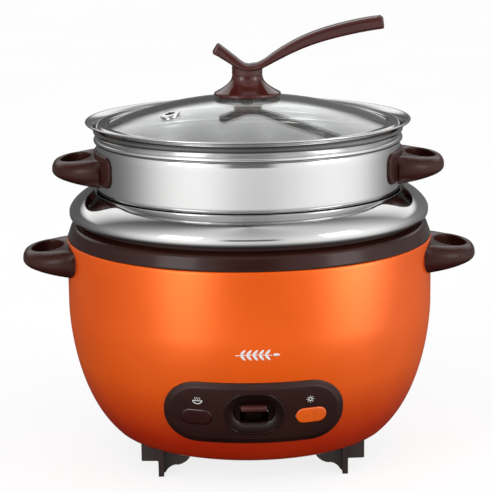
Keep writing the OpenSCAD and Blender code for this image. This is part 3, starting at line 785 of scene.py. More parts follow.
def build_handles():
    """Loop handles of the body and the steamer, one side mirrored from the other."""
    sets = (("body_handle", BODY_HANDLE_X, BODY_HANDLE_Z, BOWL_R, (143.4, 167.7, 21), 4.6, 9.5,
             "housing"),
            ("steamer_handle", STEAM_HANDLE_X, STEAM_HANDLE_Z, STEAM_R + PAD_T,
             (120.2, 143.2, 21), 0.7, 9.5, "steamer"))
    for name, tip_x, tip_z, wall, hole, embed, drop, body in sets:
        shape = loop_handle(tip_x, tip_z, wall, hole, embed, drop)
        for side, half in (("_right", shape), ("_left", shape.mirrored())):
            half.build(name + side + "_loop", BROWN, body, "brown_plastic", [name + side], 50)


# ---------- control panel ----------

BEZEL_HOLE = (42.4, 32.4, 16.1, 0, SWITCH_Z)
LENS_HOLE = (23.0, 12.8, 6.3)


def panel_area(x, z, margin):
    """True on the panel's face, away from its holes and rim by margin."""
    face = inside_pill(x, z, PANEL_W - 10, PANEL_H - 10, 19, 0, PANEL_Z, -margin)
    bezel = inside_pill(x, z, *BEZEL_HOLE, margin=margin)
    lenses = any(inside_pill(x, z, *LENS_HOLE, side * LENS_X, LENS_Z, margin)
                 for side in (-1, 1))
    return face and not bezel and not lenses


def build_panel():
    """Bevelled panel face that follows the bowl, with holes for the bezel and lenses."""
    bevel = ((0.0, 0.02), (0.05, 0.7), (0.35, 1.1), (0.9, 1.35), (1.8, 1.6), (2.7, 1.86),
             (3.3, 2.08), (3.7, 2.28), (4.0, 2.45), (4.4, 2.56), (5.0, PANEL_PROUD))
    layers = [(pill(PANEL_W - 2 * inset, PANEL_H - 2 * inset, 24 - inset, 0, PANEL_Z), depth)
              for inset, depth in bevel]
    shape = Shape()
    shape.stack(layers, on_bowl)
    holes = [pill(*BEZEL_HOLE)]
    holes += [pill(*LENS_HOLE, side * LENS_X, LENS_Z, 8, 8, 2) for side in (-1, 1)]
    holed_face(shape, layers[-1][0], PANEL_PROUD, holes, -4, 3.2, panel_area)
    shape.build("panel_housing_face", PANEL_BROWN, "housing", "brown_matte", ["panel_housing"],
                40)


def build_bezel():
    """Stepped lip and funnel round the lever, with the lever's slot in its floor."""
    lip = PANEL_PROUD + 0.7
    recess_z = SWITCH_Z + 0.8
    rings = [(42.0, 32.0, 15.9, 0.0, -5.0), (42.0, 32.0, 15.9, 0.0, PANEL_PROUD - 0.2),
             (43.6, 33.6, 16.7, 0.0, PANEL_PROUD + 0.02), (43.6, 33.6, 16.7, 0.0, lip - 0.35),
             (43.2, 33.2, 16.5, 0.0, lip - 0.08), (42.6, 32.6, 16.2, 0.0, lip),
             (41.6, 31.6, 15.7, 0.0, lip - 0.05), (41.0, 31.0, 15.4, 0.0, lip - 0.45),
             (40.6, 30.6, 15.2, 0.0, lip - 0.5), (40.0, 30.2, 15.0, 0.1, lip - 0.3)]
    layers = [(pill(w, h, r, 0, SWITCH_Z + up), d) for w, h, r, up, d in rings]
    for k in range(14, -1, -1):
        g = k / 14
        shape = pill(30 + 9.2 * g, 17.4 + 11.8 * g, 8.6 + 5.8 * g, 0, recess_z - 0.6 * g)
        layers.append((shape, (lip - 0.4) * g ** 0.62))
    floor_pill = (29.6, 17.0, 8.4, 0, recess_z)
    slot = (20.4, 16.4, 0.8, 0, recess_z - 2.2)
    layers += [(pill(*floor_pill), -0.5), (pill(*floor_pill), -3.2)]

    def floor_area(x, z, margin):
        return inside_pill(x, z, *floor_pill, -margin) and not inside_pill(x, z, *slot, margin)

    shape = Shape()
    shape.stack(layers, on_bowl)
    holed_face(shape, layers[-1][0], -3.2, [pill(*slot, 3, 10, 6)], -9, 2.0, floor_area)
    shape.build("switch_bezel_funnel", BEZEL_BROWN, "housing", "brown_plastic",
                ["switch_bezel"], 45)


def build_lens(name, side, material, slot, gap):
    """Lens cap; gap is the dark line left all round it."""
    x = side * LENS_X
    rings = [(0.0, -3.0), (0.0, 0.6), (gap, 0.7), (gap, PANEL_PROUD - 0.1),
             (gap + 0.15, PANEL_PROUD + 0.1), (gap + 0.4, PANEL_PROUD + 0.3),
             (gap + 0.8, PANEL_PROUD + 0.44)]
    layers = [(pill(22.4 - 2 * inset, 12.4 - 2 * inset, 6.1 - inset, x, LENS_Z, 10, 12, 2),
               depth) for inset, depth in rings]
    shape = Shape()
    rim = shape.stack(layers, on_bowl)
    shape.close(rim, layers[-1], on_bowl, 6, 0.06)
    shape.build(name + "_cap", material, "housing", slot, [name], 50)


def stroke(shape, path, half, sink, thick, closed=False):
    """Adds a thin raised stroke on the bowl along a path of (x, z) points."""
    rings = []
    last = len(path) - 1
    for i, p in enumerate(path):
        before = Vector(path[i - 1 if closed or i else 0])
        after = Vector(path[(i + 1) % len(path) if closed else min(i + 1, last)])
        along = (after - before).normalized() * half
        rings.append([on_bowl(p[0] + along.y * side, p[1] - along.x * side, depth)
                      for side, depth in ((1, sink), (1, thick), (-1, thick), (-1, sink))])
    shape.tube(rings, closed)


def build_pictograms():
    """Plain signs over the lamps: a bowl with steam for cook, a sun for warm."""
    depths = (PANEL_PROUD - 0.1, PANEL_PROUD + 0.12)
    cook_x, warm_x, base = -40.5, 40.5, 72.4
    shape = Shape()
    bowl = [(cook_x + 3.1 * cos(a), base + 2.2 + 2.3 * sin(a))
            for a in [pi + pi * k / 12 for k in range(13)]]
    stroke(shape, bowl, 0.32, *depths)
    stroke(shape, [(cook_x + x, base + 2.3) for x in (-3.7, 0, 3.7)], 0.3, *depths)
    for shift in (-1.6, 0, 1.6):
        wave = [(cook_x + shift + 0.32 * sin(k * pi / 3), base + 3.1 + 0.32 * k) for k in range(7)]
        stroke(shape, wave, 0.2, *depths)
    stroke(shape, circle(1.25, 20, warm_x, base + 2.2), 0.3, *depths, closed=True)
    for c, d in circle(1, 8):
        ray = [(warm_x + r * c, base + 2.2 + r * d) for r in (2.0, 2.4, 2.8)]
        stroke(shape, ray, 0.22, *depths)
    shape.build("panel_pictograms", PRINT, "housing", "brown_matte", (), 50)


def build_sprig():
    """A plain ear of rice, printed where such a bowl carries a badge."""
    shape = Shape()
    centre_z = 110.0
    stem = [(-13 + 26 * k / 12, centre_z + 0.5 * sin(pi * k / 12) - 0.2) for k in range(13)]
    stroke(shape, stem, 0.28, -0.08, 0.1)
    grains = [(-8.6 + 4.4 * k, side) for k in range(5) for side in (-1, 1)]
    for x, side in grains + [(14.6, 0)]:
        lean = radians(48 * side)
        cx, cz = x + 1.6 * cos(lean), centre_z + side * 2.0 + 0.1
        outline = []
        for c, d in circle(1, 24):
            along, across = 2.5 * c, 0.95 * d * (1 - 0.2 * c)
            outline.append((along * cos(lean) - across * sin(lean),
                            along * sin(lean) + across * cos(lean)))
        shape.tube([[on_bowl(cx + px * scale, cz + pz * scale, depth) for px, pz in outline]
                    for depth, scale in ((-0.1, 1.0), (0.08, 1.0), (0.14, 0.88))])
    shape.build("rice_sprig_mark", PRINT, "housing", "orange_paint", (), 50)


def rounded_bar(x0, x1, z0, z1, y0, y1, r):
    """Rounded bar along Y with softened ends."""
    rings = []
    for y, inset in ((y0, r), (y0 + r * 0.3, r * 0.3), (y0 + r, 0), (y1 - r, 0),
                     (y1 - r * 0.3, r * 0.3), (y1, r)):
        outline = pill(x1 - x0 - 2 * inset, z1 - z0 - 2 * inset, max(r - inset * 0.4, 0.2),
                       (x0 + x1) / 2, (z0 + z1) / 2, 4, 6, 3)
        rings.append([(x, y, z) for x, z in outline])
    return Shape().tube(rings)


def build_lever():
    """Lever arm, its thumb tab and the pivot boss, as one moulding."""
    pivot_y, pivot_z, t = -70.0, 44.7, 3.0
    bottom, top = pivot_z - t / 2, pivot_z + t / 2
    front = low("cook_lever").y
    outline = [(-131, 71.2, 0.6), (-123.5, 71.2, 2), (-106.6, top, 3), (-3, top, 0.6),
               (-3, bottom, 0.6), (-108.6, bottom, 3), (-124.6, 66.6, 2), (-131, 66.6, 0.6)]
    side = rounded(outline, 4)
    cy = sum(p[0] for p in side) / len(side)
    cz = sum(p[1] for p in side) / len(side)
    rings = []
    for x, shrink in ((-6, 0.9984), (-5.6, 1), (5.6, 1), (6, 0.9984)):
        rings.append([(x, cy + (y - cy) * shrink, cz + (z - cz) * shrink) for y, z in side])
    shape = Shape().tube(rings)
    shape.add(rounded_bar(-9.4, 9.4, 66.6, 71.2, front, front + 6.5, 0.9))
    shape.add(rounded_bar(0, 15, bottom, top, -90, -84, 0.4))
    boss = revolve(rounded([(2.06, -6, 0.3), (4, -6, 0.5), (4, 6, 0.5), (2.06, 6, 0.3)], 3), 32)
    boss.points = [(z, pivot_y + x, pivot_z + y) for x, y, z in boss.points]
    shape.add(boss)
    lever = shape.build("cook_lever_moulding", KNOB_BROWN, "lever", "brown_matte",
                        ["cook_lever"], 40)
    # Painted shade: the arm behind the tab, down in the bezel's recess, takes the darker foot
    # plastic, while the tab keeps the polished brown.
    lever.data.materials.append(FOOT_BROWN)
    for face in lever.data.polygons:
        face.material_index = 1 if face.center.y > (front + 7) * MM else 0


# ---------- pot and heating ----------

def build_pot():
    """Spun pot with a broad rolled rim, from the inside of its floor round to the outside."""
    corner = 26
    crest_x = 118.4
    side_z = 191.5
    edge = 186.2
    rise = RIM_TOP - side_z
    wall = POT_R - corner
    profile = [(0, POT_FLOOR)]
    profile += arc(wall, POT_FLOOR + corner, corner, -90, 0, 20)
    profile += [(POT_R, POT_FLOOR + corner + (RIM_TOP - 6 - POT_FLOOR - corner) * k / 10)
                for k in range(1, 11)]
    profile += quarter(crest_x, side_z, RIM_R - crest_x - POT_T, rise - POT_T)
    profile += [(RIM_R - POT_T, edge + 1.6), (RIM_R - 1.9, edge + 0.7), (RIM_R - 3, edge + 0.5),
                (RIM_R - 3.4, edge + 0.2), (RIM_R - 3, edge), (RIM_R - 1.6, edge),
                (RIM_R - 0.8, edge + 0.5), (RIM_R - 0.25, edge + 1.6), (RIM_R, edge + 3)]
    profile += list(reversed(quarter(crest_x, side_z, RIM_R - crest_x, rise)))
    profile += arc(crest_x, RIM_TOP - 3, 3, 100, 170, 8)
    inner = POT_R - POT_T
    profile += [(inner, RIM_TOP - 5 - (RIM_TOP - 5 - POT_FLOOR - corner) * k / 10)
                for k in range(0, 10)]
    profile += arc(wall, POT_FLOOR + corner, corner - POT_T, 0, -90, 20)
    profile += [(0, POT_FLOOR + POT_T)]
    lathe("inner_pot_spun", profile, POT_STEEL, "pot", "pot_steel", ["inner_pot"], 256, 40,
          False)


def build_heating():
    """Liner, cast plate with its turned rings, and the spring-loaded sensor cup."""
    t = 0.8
    floor_z = low("heat_chamber").z
    top = high("heat_chamber").z - t
    inner = 121.0
    profile = rounded([(19, floor_z, 0), (104 + t, floor_z, 2), (104 + t, 62, 2),
                       (inner + t, 92, 8), (inner + t, top, 0.3), (129, top, 0.2),
                       (129, top + t, 0.2), (inner, top + t, 1), (inner, 92.2, 8),
                       (104, 62.2, 2), (104, floor_z + t, 2), (10, floor_z + t, 0.2),
                       (10, floor_z, 0.2)])
    lathe("heat_chamber_liner", profile, LINER, "housing", "liner_steel", ["heat_chamber"])
    plate = high("heating_plate").z
    rings = []
    for k in range(1, 16):
        r = 84 - k * 4
        rings += [(r + 0.5, plate, 0.2), (r, plate - 0.25, 0.2), (r - 0.5, plate, 0.2)]
    profile = rounded([(18.3, plate - 9.5, 0.4), (60, plate - 9.5, 4), (80, plate - 8, 4),
                       (86, plate - 4, 3), (88, plate - 1.5, 1), (86.5, plate, 1)] + rings +
                      [(19, plate, 0.4), (18.3, plate - 0.7, 0.4)], 2)
    lathe("heating_plate_casting", profile, TURNED, "housing", "cast_aluminium",
          ["heating_plate"])
    top = high("sensor_cup").z
    profile = rounded([(0, 58.2, 0), (8.5, 58.2, 0.4), (8.5, 66, 0.3), (16, 66, 0.3),
                       (16, 62.2, 0.2), (17.6, 62.2, 0.2), (17.6, top, 0.9), (9, top, 0.4),
                       (8.6, top - 0.3, 0.3), (8.2, top, 0.3), (0, top, 0)], 3)
    lathe("sensor_cup_pressing", profile, TURNED, "sensor", "cast_aluminium", ["sensor_cup"],
          96, 35, False)


# ---------- steamer ----------

def steam_wall(d):
    """Outside line of the steamer from floor to lip; d moves it inwards."""
    line = [(0, STEAM_FLOOR + d)]
    line += [(96 * k / 24, STEAM_FLOOR + d) for k in range(1, 25)]
    line += arc(104.6, 196, 10 - d, -90, 0, 10)
    line += [(114.6 - d, STEAM_SEAM - 1.4 + d * 0.4), (114.9 - d, STEAM_SEAM - 0.6 + d * 0.4),
             (STEAM_R - 0.5 - d, STEAM_SEAM - 0.1 + d * 0.6),
             (STEAM_R - d, STEAM_SEAM + 0.5 + d * 0.6)]
    line += [(STEAM_R - d, STEAM_SEAM + 1 + (238.4 - STEAM_SEAM) * k / 12) for k in range(1, 13)]
    line += [(STEAM_R - 0.12 - d, 240.6), (STEAM_R - 0.45 - d, 241.8),
             (STEAM_R - 0.6 - d, 242.6), (STEAM_R - 0.2 - d, 243.1)]
    line += arc(STEAM_R - 0.4 - d, 245.2, 2.2, -56, 56, 12)
    line += [(STEAM_R - 0.1 - d, 247.4), (STEAM_R - 0.8 - d, 247.9), (STEAM_R - 0.6 - d, 248.5),
             (STEAM_R + 0.3 - d, 249.3)]
    line += [(STEAM_R + 1.3 - d, 250.2), (STEAM_R + 1.9 - d, 251.4), (STEAM_R + 2.2 - d, 252.8),
             (STEAM_R + 2.6 - d, 254.4), (STEAM_R + 3.3 - d, 255.7 + d * 0.6)]
    return line


def build_steamer():
    """Spun tray with a stepped wall, a flared lip and six rings of steam holes."""
    rim = rounded([(STEAM_R + 4.6, LIP_Z - 1.9, 0), (LIP_R - 1.6, LIP_Z - 0.9, 0.8),
                   (LIP_R - 0.5, LIP_Z - 1.1, 0.4), (LIP_R, LIP_Z - 0.3, 0.5),
                   (LIP_R - 0.5, LIP_Z + 0.55, 0.5), (LIP_R - 1.8, LIP_Z + 0.45, 0.5),
                   (STEAM_R + 3.6, LIP_Z - 0.9, 0)], 3)
    profile = steam_wall(0) + rim + list(reversed(steam_wall(STEAM_T)))
    tray = lathe("steamer_tray_spun", profile, STEAM_STEEL, "steamer", "stainless",
                 ["steamer_tray"], 256, 40, False)
    holes = Shape()
    for ring in range(1, 7):
        for cx, cy in circle(15 * ring, ring * 6):
            holes.tube([[(x, y, z) for x, y in circle(2, 16, cx, cy)]
                        for z in (STEAM_FLOOR - 2, STEAM_FLOOR + 3)])
    cut(tray, holes)


def on_wall(x, z, d):
    """Point on the steamer's +X side; x runs round the wall."""
    a = x / STEAM_R
    return ((STEAM_R + d) * cos(a), (STEAM_R + d) * sin(a), z)


def build_pads():
    """Pads behind the steamer's handles, bent round the wall and rounded at their edges."""
    pad_z = STEAM_HANDLE_Z + 3.8
    pad_h = 23.4
    width = 2 * asin(55 / STEAM_R) * STEAM_R
    rings = [(0.3, 0.02), (0, 0.25)]
    for k in range(9):
        a = pi / 2 * k / 8
        rings.append((2.6 * (1 - cos(a)), 0.4 + (PAD_T - 0.4) * sin(a)))
    layers = [(pill(width - 2 * inset, pad_h - 2 * inset, 8 - inset, 0, pad_z, 8, 40, 4), depth)
              for inset, depth in rings]
    shape = Shape()
    rim = shape.stack(layers, on_wall)
    shape.close(rim, layers[-1], on_wall, 5)
    shape.add(shape.mirrored())
    shape.build("steamer_pads_moulded", BROWN, "steamer", "brown_plastic", ["steamer_pads"], 45)


# ---------- lid ----------

def dome(r, inner=0.0):
    """Height of the glass's surface at the radius r."""
    return DOME_Z + sqrt((DOME_R - inner) ** 2 - r * r)


def tilt_at_vent():
    """Frame of the vent: on the glass, square to its surface."""
    lean = asin(VENT.length / DOME_R)
    turn = Matrix.Rotation(atan2(VENT.y, VENT.x), 4, "Z") @ Matrix.Rotation(lean, 4, "Y")
    return Matrix.Translation((0, 0, DOME_Z)) @ turn @ Matrix.Translation((0, 0, DOME_R))


def build_glass():
    """Domed glass with a hole at its top and one for the vent."""
    hole = 4.2
    top = [(hole + (GLASS_R - 1 - hole) * k / 64) for k in range(65)]
    profile = [(r, dome(r)) for r in top]
    profile += [(GLASS_R - 0.3, GLASS_EDGE - 0.2), (GLASS_R, GLASS_EDGE - 1),
                (GLASS_R, GLASS_EDGE - 2.8), (GLASS_R - 0.6, GLASS_EDGE - GLASS_T + 0.5)]
    profile += [(r, dome(r, GLASS_T)) for r in reversed(top[:-1])]
    glass = lathe("lid_glass_dome", profile, GLASS, "lid", "glass", ["lid_glass"], 224, 40)
    place = tilt_at_vent()
    cut(glass, Shape().tube([[place @ Vector((x, y, z)) for x, y in circle(5.1, 48)]
                             for z in (-12, 12)]))


def build_lid_rim():
    """Rolled steel band round the glass."""
    top = high("lid_rim").z
    bottom = low("lid_rim").z
    lid_r = high("lid_rim").x
    corners = [(GLASS_R - 4, bottom, 0.4), (lid_r - 0.8, bottom, 0.5), (lid_r, bottom + 1.2, 0.5),
               (lid_r, top - 2.2, 2.0), (lid_r - 2.2, top, 2.0), (GLASS_R - 5.4, 257.1, 0.4),
               (GLASS_R - 6, 256.7, 0.3), (GLASS_R - 5.4, 256.4, 0.3), (GLASS_R + 0.9, 256.2, 0.2),
               (GLASS_R + 1, 250, 0.3), (GLASS_R - 4, 250.4, 0.2)]
    lathe("lid_rim_rolled", rounded(corners, 6), LID_STEEL, "lid", "stainless", ["lid_rim"],
          224, 40)


def build_vent():
    """Riveted grommet through the glass."""
    corners = [(3.6, 1.35, 0.5), (7.4, 1.2, 0.9), (7.4, 0.05, 0.2), (5, 0.05, 0.1),
               (5, -GLASS_T - 0.1, 0.1), (7, -GLASS_T - 0.1, 0.2), (7, -GLASS_T - 1.3, 0.5),
               (3.6, -GLASS_T - 1.3, 0.4)]
    shape = revolve(rounded(corners, 4), 64)
    place = tilt_at_vent()
    shape.points = [place @ Vector(p) for p in shape.points]
    shape.build("vent_grommet_ring", LID_STEEL, "lid", "stainless", ["vent_grommet"], 40)


def arm_x(s):
    """Across the long arm, s going from its root (0) to its tip (1)."""
    return 12 + 91 * s


def arm_z(s):
    """Height of the long arm's upper line."""
    return 300.3 + 31.4 * (1 - (1 - s) ** 1.88) + 0.8 * sin(2 * pi * s)


def spline(keys, steps):
    """Catmull-Rom curve through the keys, as steps points for each span."""
    line = []
    for i in range(len(keys) - 1):
        p0 = Vector(keys[max(i - 1, 0)])
        p1 = Vector(keys[i])
        p2 = Vector(keys[i + 1])
        p3 = Vector(keys[min(i + 2, len(keys) - 1)])
        for k in range(steps):
            t = k / steps
            line.append(((2 * p1) + (p2 - p0) * t + (2 * p0 - 5 * p1 + 4 * p2 - p3) * t * t
                         + (3 * p1 - p0 - 3 * p2 + p3) * t ** 3) / 2)
    line.append(Vector(keys[-1]))
    return line


def branch_line():
    """Centre line of the branch as (x, z, half thickness)."""
    keys = [(-24.3, 313.0, 4.1), (-18.5, 309.2, 3.7), (-11.5, 304.2, 3.2), (-6.2, 300.4, 2.7),
            (-2.2, 298.3, 2.4), (1.6, 297.7, 2.3), (5.2, 298.3, 2.25), (8.6, 298.9, 2.2)]
    for s in (0.03, 0.1, 0.2, 0.3, 0.4, 0.5, 0.6, 0.7, 0.8, 0.9, 1.0):
        over = 1.8 + 2.3 * s ** 0.6
        under = over + 1.7 * max(sin(pi * s ** 0.75), 0) ** 0.8 + 1.1 * s
        along = Vector((arm_x(s) - arm_x(s - 0.02), arm_z(s) - arm_z(s - 0.02))).normalized()
        drop = (under - over) / 2
        keys.append((arm_x(s) + along.y * drop, arm_z(s) - along.x * drop, (over + under) / 2))
    return spline(keys, 5)


def branch_section(half_w, half_t, channel):
    """Rounded bar section with a shallow channel along its top: (across, up) points."""
    r = min(1.9, half_t * 0.85)
    flat = half_w - r
    right = [(flat + r * cos(a), -half_t + r + r * sin(a))
             for a in [-pi / 2 + pi / 2 * k / 5 for k in range(6)]]
    right += [(flat + r * cos(a), half_t - r + r * sin(a)) for a in
              [pi / 2 * k / 5 for k in range(6)]]
    lip = flat - 0.9
    right += [(lip, half_t - channel * 0.1), (lip - 0.8, half_t - channel * 0.55),
              (lip - 2.0, half_t - channel * 0.9), (lip * 0.45, half_t - channel)]
    left = [(-y, n) for y, n in reversed(right)]
    return [(0, -half_t)] + right + [(0, half_t - channel)] + left


def branch_stations():
    """Centre line with extra sections that round both tips: (x, z, half, shrink)."""
    line = [(p.x, p.y, p.z, 0.0) for p in branch_line()]
    softness = 2.0
    ends = []
    for end, near in ((line[0], line[1]), (line[-1], line[-2])):
        along = Vector((end[0] - near[0], end[1] - near[1])).normalized()
        ring = []
        for k in range(1, 6):
            a = pi / 2 * k / 5
            back = softness * (1 - sin(a))
            ring.append((end[0] - along.x * back, end[1] - along.y * back, end[2],
                         softness * (1 - cos(a)) * 0.85))
        ends.append(ring)
    head = [p for p in line if hypot(p[0] - line[0][0], p[1] - line[0][1]) > softness
            and hypot(p[0] - line[-1][0], p[1] - line[-1][1]) > softness]
    return list(reversed(ends[0])) + head + ends[1]


def build_branch():
    """Forked branch of the knob: sections square to its centre line, grooved on top."""
    rings = []
    stations = branch_stations()
    for i, (x, z, half_t, shrink) in enumerate(stations):
        before = stations[max(i - 1, 0)]
        after = stations[min(i + 1, len(stations) - 1)]
        along = Vector((after[0] - before[0], after[1] - before[1]))
        along = along.normalized() if along.length > 1e-6 else Vector((1, 0))
        up = Vector((-along.y, along.x))
        wide = BRANCH_HALF + (NECK_R + 0.2 - BRANCH_HALF) * exp(-(x / 11) ** 2)
        near_tip = min(hypot(x - stations[0][0], z - stations[0][1]),
                       hypot(x - stations[-1][0], z - stations[-1][1]))
        channel = 0.75 * min(1, max(near_tip - 2.4, 0) / 1.2) * min(half_t / 2.4, 1.2)
        section = branch_section(wide - shrink, half_t - shrink * 0.6, channel)
        rings.append([(x + up.x * n, y, z + up.y * n) for y, n in section])
    Shape().tube(rings).build("knob_branch_moulding", KNOB_BROWN, "lid", "brown_plastic",
                              ["knob_branch"], 50)


def branch_under(x):
    """Height of the branch's underside over the knob's axis plane."""
    line = branch_line()
    near = min(line, key=lambda p: abs(p.x - x))
    return near.y - near.z


def build_knob_base():
    """Flared knob base whose neck rises to the underside of the branch."""
    bottom = GLASS_TOP - 0.2
    profile = [(4.2, bottom + 0.3), (KNOB_R - 4, bottom), (KNOB_R - 1.2, bottom + 0.1),
               (KNOB_R - 0.3, bottom + 0.5), (KNOB_R, bottom + 1.3), (KNOB_R - 0.05, bottom + 2.4),
               (KNOB_R - 0.5, bottom + 3.1), (KNOB_R - 1.3, bottom + 3.5)]
    for k in range(21):
        u = k / 20
        profile.append((NECK_R + 12.0 * (1 - u) ** 1.95, bottom + 3.8 + 11.7 * u))
    profile += [(NECK_R - 0.1, bottom + 15.8), (NECK_R - 0.45, bottom + 16.0),
                (NECK_R - 0.45, bottom + 16.3), (NECK_R - 0.1, bottom + 16.6)]
    profile += [(NECK_R - 0.1, bottom + 16.8 + k) for k in range(0, 9)]
    count = 128
    shape = revolve(profile, count, False)
    base = bottom + 16.8
    for k in range(9):
        first = len(shape.points) - count * (9 - k)
        for i in range(first, first + count):
            x, y = shape.points[i][:2]
            roof = branch_under(x) + 1.0
            shape.points[i] = (x, y, base + (roof - base) * k / 8)
    top = list(range(len(shape.points) - count, len(shape.points)))
    inner = shape.loop([(x, y, bottom + 20) for x, y in circle(4.2, count)])
    shape.bridge(top, inner, list(range(count)))
    shape.build("knob_base_turned", KNOB_BROWN, "lid", "brown_plastic", ["knob_base"], 45)


# ---------- CAD parts that keep their own meshes ----------

def finish_cad_parts():
    """Gives each carried-over CAD part its material, and softened edges to the base plate, power
    inlet and feet.
    """
    kept = {
        PLATED: ["handle_screws", "base_plate", "foot_screws", "heater_terminals",
                 "sensor_spring", "magnet_guide", "magnet_holder", "lever_pin", "lever_spring",
                 "switch_bracket", "thermal_fuse", "inlet_screws", "steamer_rivets",
                 "knob_screw", "knob_washer"],
        FOOT_BROWN: ["foot_front_left", "foot_front_right", "foot_rear_left",
                     "foot_rear_right"],
        BLACK: ["microswitch", "power_inlet"],
        CERAMIC: ["plate_spacers", "warm_thermostat"],
        FERRITE: ["lift_magnet"],
        LAMP: ["indicator_lamps"],
        BOARD: ["lamp_board"],
        BRASS: ["inlet_blades"],
        SLEEVE: ["internal_wiring"],
    }
    soft_edges = {"base_plate": 0.25, "power_inlet": 0.3, "foot_front_left": 0.45,
                  "foot_front_right": 0.45, "foot_rear_left": 0.45, "foot_rear_right": 0.45}
    for material, names in kept.items():
        for name in names:
            obj = frame["nodes"][name]
            obj.data.materials.clear()
            obj.data.materials.append(material)
            if name in soft_edges:
                bevel = obj.modifiers.new("soft_edges", "BEVEL")
                bevel.width = soft_edges[name] * MM
                bevel.segments = 2
                bevel.limit_method = "ANGLE"
                bevel.angle_limit = radians(35)
                bevel.harden_normals = True


# ---------- stage ----------

def floor():
    """Wide pale floor that gloss and bounce light do not see."""
    size = 14.0
    mesh = bpy.data.meshes.new("floor")
    mesh.from_pydata([(-size, -size, 0), (size, -size, 0), (size, size, 0), (-size, size, 0)],
                     [], [[0, 1, 2, 3]])
    obj = new_object("floor", mesh)
    f = Finish("pale_floor", (0.19, 0.19, 0.19), 0.9, Specular_IOR_Level=0.0)
    f.tint(f.noise(3, 2), (0.185, 0.185, 0.185), (0.195, 0.195, 0.195))
    f.glow((1, 1, 1), 0.82)
    mesh.materials.append(f.material)
    obj.visible_glossy = False
    obj.visible_diffuse = False
    obj.visible_transmission = True


# brightness of the studio by direction: degrees from the camera's side
AROUND = ((-180, 0.06), (-140, 0.09), (-112, 0.16), (-92, 0.34), (-72, 0.74), (-52, 1.0),
          (-30, 1.0), (-10, 0.68), (8, 0.62), (26, 0.72), (48, 0.92), (70, 0.98), (90, 0.86),
          (108, 0.5), (130, 0.18), (180, 0.06))
# and from straight down (0) to straight up (1)
UPWARDS = ((0.0, 0.02), (0.16, 0.06), (0.28, 0.3), (0.37, 0.9), (0.45, 1.0), (0.68, 1.0),
           (0.84, 0.8), (1.0, 0.5))


def greys(stops):
    """The (position, brightness) stops as (position, colour) stops."""
    return [(position, (value,) * 3) for position, value in stops]


def world():
    """Studio surroundings: two bright sides in front, a backdrop high behind, dark below."""
    studio = bpy.data.worlds.new("studio")
    studio.use_nodes = True
    bpy.context.scene.world = studio
    g = Graph(studio.node_tree)
    x, y, z = g.parts(g.add("TexCoord").outputs["Generated"])
    azimuth = g.math("ARCTAN2", x, g.math("MULTIPLY", y, -1))
    stops = greys([((angle + 180) / 360, value) for angle, value in AROUND])
    around = g.tones(g.spread(azimuth, -pi, pi), stops, "B_SPLINE")
    level = g.tones(g.spread(z, -1, 1), greys(UPWARDS), "B_SPLINE")
    sides = g.add("VectorMath", around, level, operation="MULTIPLY").outputs[0]
    backdrop = g.math("MULTIPLY", g.spread(z, 0.19, 0.36, curve="SMOOTHSTEP"),
                      g.spread(y, 0.2, 0.75, 0.0, 0.85, "SMOOTHSTEP"))
    lit = g.add("VectorMath", sides, backdrop, operation="MAXIMUM").outputs[0]
    dimmed = g.add("VectorMath", lit, Scale=gap_between_lights(g, azimuth, z),
                   operation="SCALE").outputs[0]
    background = g.nodes["Background"]
    g.feed(background.inputs["Color"], dimmed)
    g.feed(background.inputs["Strength"], 1.65)


def gap_between_lights(g, azimuth, rise):
    """Share of light: low in the dark of the room on the camera's side, one elsewhere."""
    middle = g.spread(g.math("ABSOLUTE", azimuth), 0.42, 0.20, curve="SMOOTHSTEP")
    above = g.spread(rise, -0.03, 0.06, curve="SMOOTHSTEP")
    below = g.spread(rise, 0.56, 0.42, curve="SMOOTHSTEP")
    dark = g.math("MULTIPLY", g.math("MULTIPLY", middle, above), below)
    return g.spread(dark, 0.0, 1.0, 1.0, 0.2)


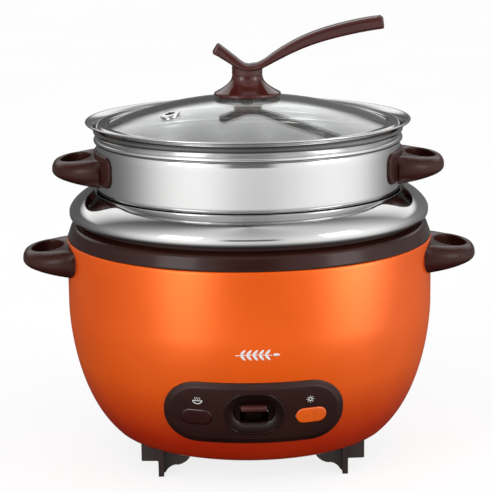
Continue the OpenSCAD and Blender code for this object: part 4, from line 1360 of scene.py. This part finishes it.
def softbox(name, azimuth, elevation, distance, width, height, power, only=None):
    """Rectangular light that faces the cooker; azimuth 0 is the camera's side.

    With only given, it is a sheen light: seen in that object's gloss and nowhere else.
    """
    light = bpy.data.lights.new(name, "AREA")
    light.shape = "RECTANGLE"
    light.size = width
    light.size_y = height
    light.energy = power
    obj = new_object(name, light)
    a, e = radians(azimuth), radians(elevation)
    direction = Vector((sin(a) * cos(e), -cos(a) * cos(e), sin(e)))
    target = Vector((0, 0, 0.18))
    obj.location = target + direction * distance
    obj.rotation_euler = (-direction).to_track_quat("-Z", "Y").to_euler()
    if only:
        receivers = bpy.data.collections.new(name + "_receivers")
        receivers.objects.link(only)
        obj.light_linking.receiver_collection = receivers
        obj.visible_diffuse = False
        obj.visible_camera = False


def camera():
    """Long lens, level with the lid, with the slight roll of a hand-held frame."""
    data = bpy.data.cameras.new("camera")
    data.lens = 135.3
    data.sensor_width = 36
    data.clip_end = 60
    obj = new_object("camera", data)
    turn = Euler((radians(77.99), 0, radians(-0.85)), "XYZ").to_matrix()
    roll = Matrix.Rotation(radians(-0.66), 3, "Z")
    obj.matrix_world = Matrix.Translation((-0.0232, -1.3998, 0.4572)) @ (turn @ roll).to_4x4()
    bpy.context.scene.camera = obj


def light_and_stage():
    """Everything round the cooker: floor, studio, lights and camera."""
    floor()
    world()
    shell = bpy.data.objects["outer_shell_skin"]
    softbox("key_left", -46, 24, 2.2, 0.9, 1.1, 11)
    softbox("key_right", 60, 22, 2.2, 0.9, 1.1, 10)
    softbox("sheen_left", -37, -2, 0.8, 0.36, 0.32, 5, shell)
    softbox("sheen_right", 61, -2, 0.8, 0.46, 0.32, 6.5, shell)
    bpy.context.scene.view_settings.view_transform = "Standard"
    camera()


build_shell()
build_collar()
build_handles()
build_panel()
build_bezel()
build_lens("cook_lens", -1, RED_LENS, "red_lens", 0.1)
build_lens("warm_lens", 1, ORANGE_LENS, "orange_lens", 0.2)
build_pictograms()
build_sprig()
build_lever()
build_pot()
build_heating()
build_steamer()
build_pads()
build_glass()
build_lid_rim()
build_vent()
build_branch()
build_knob_base()
finish_cad_parts()
light_and_stage()
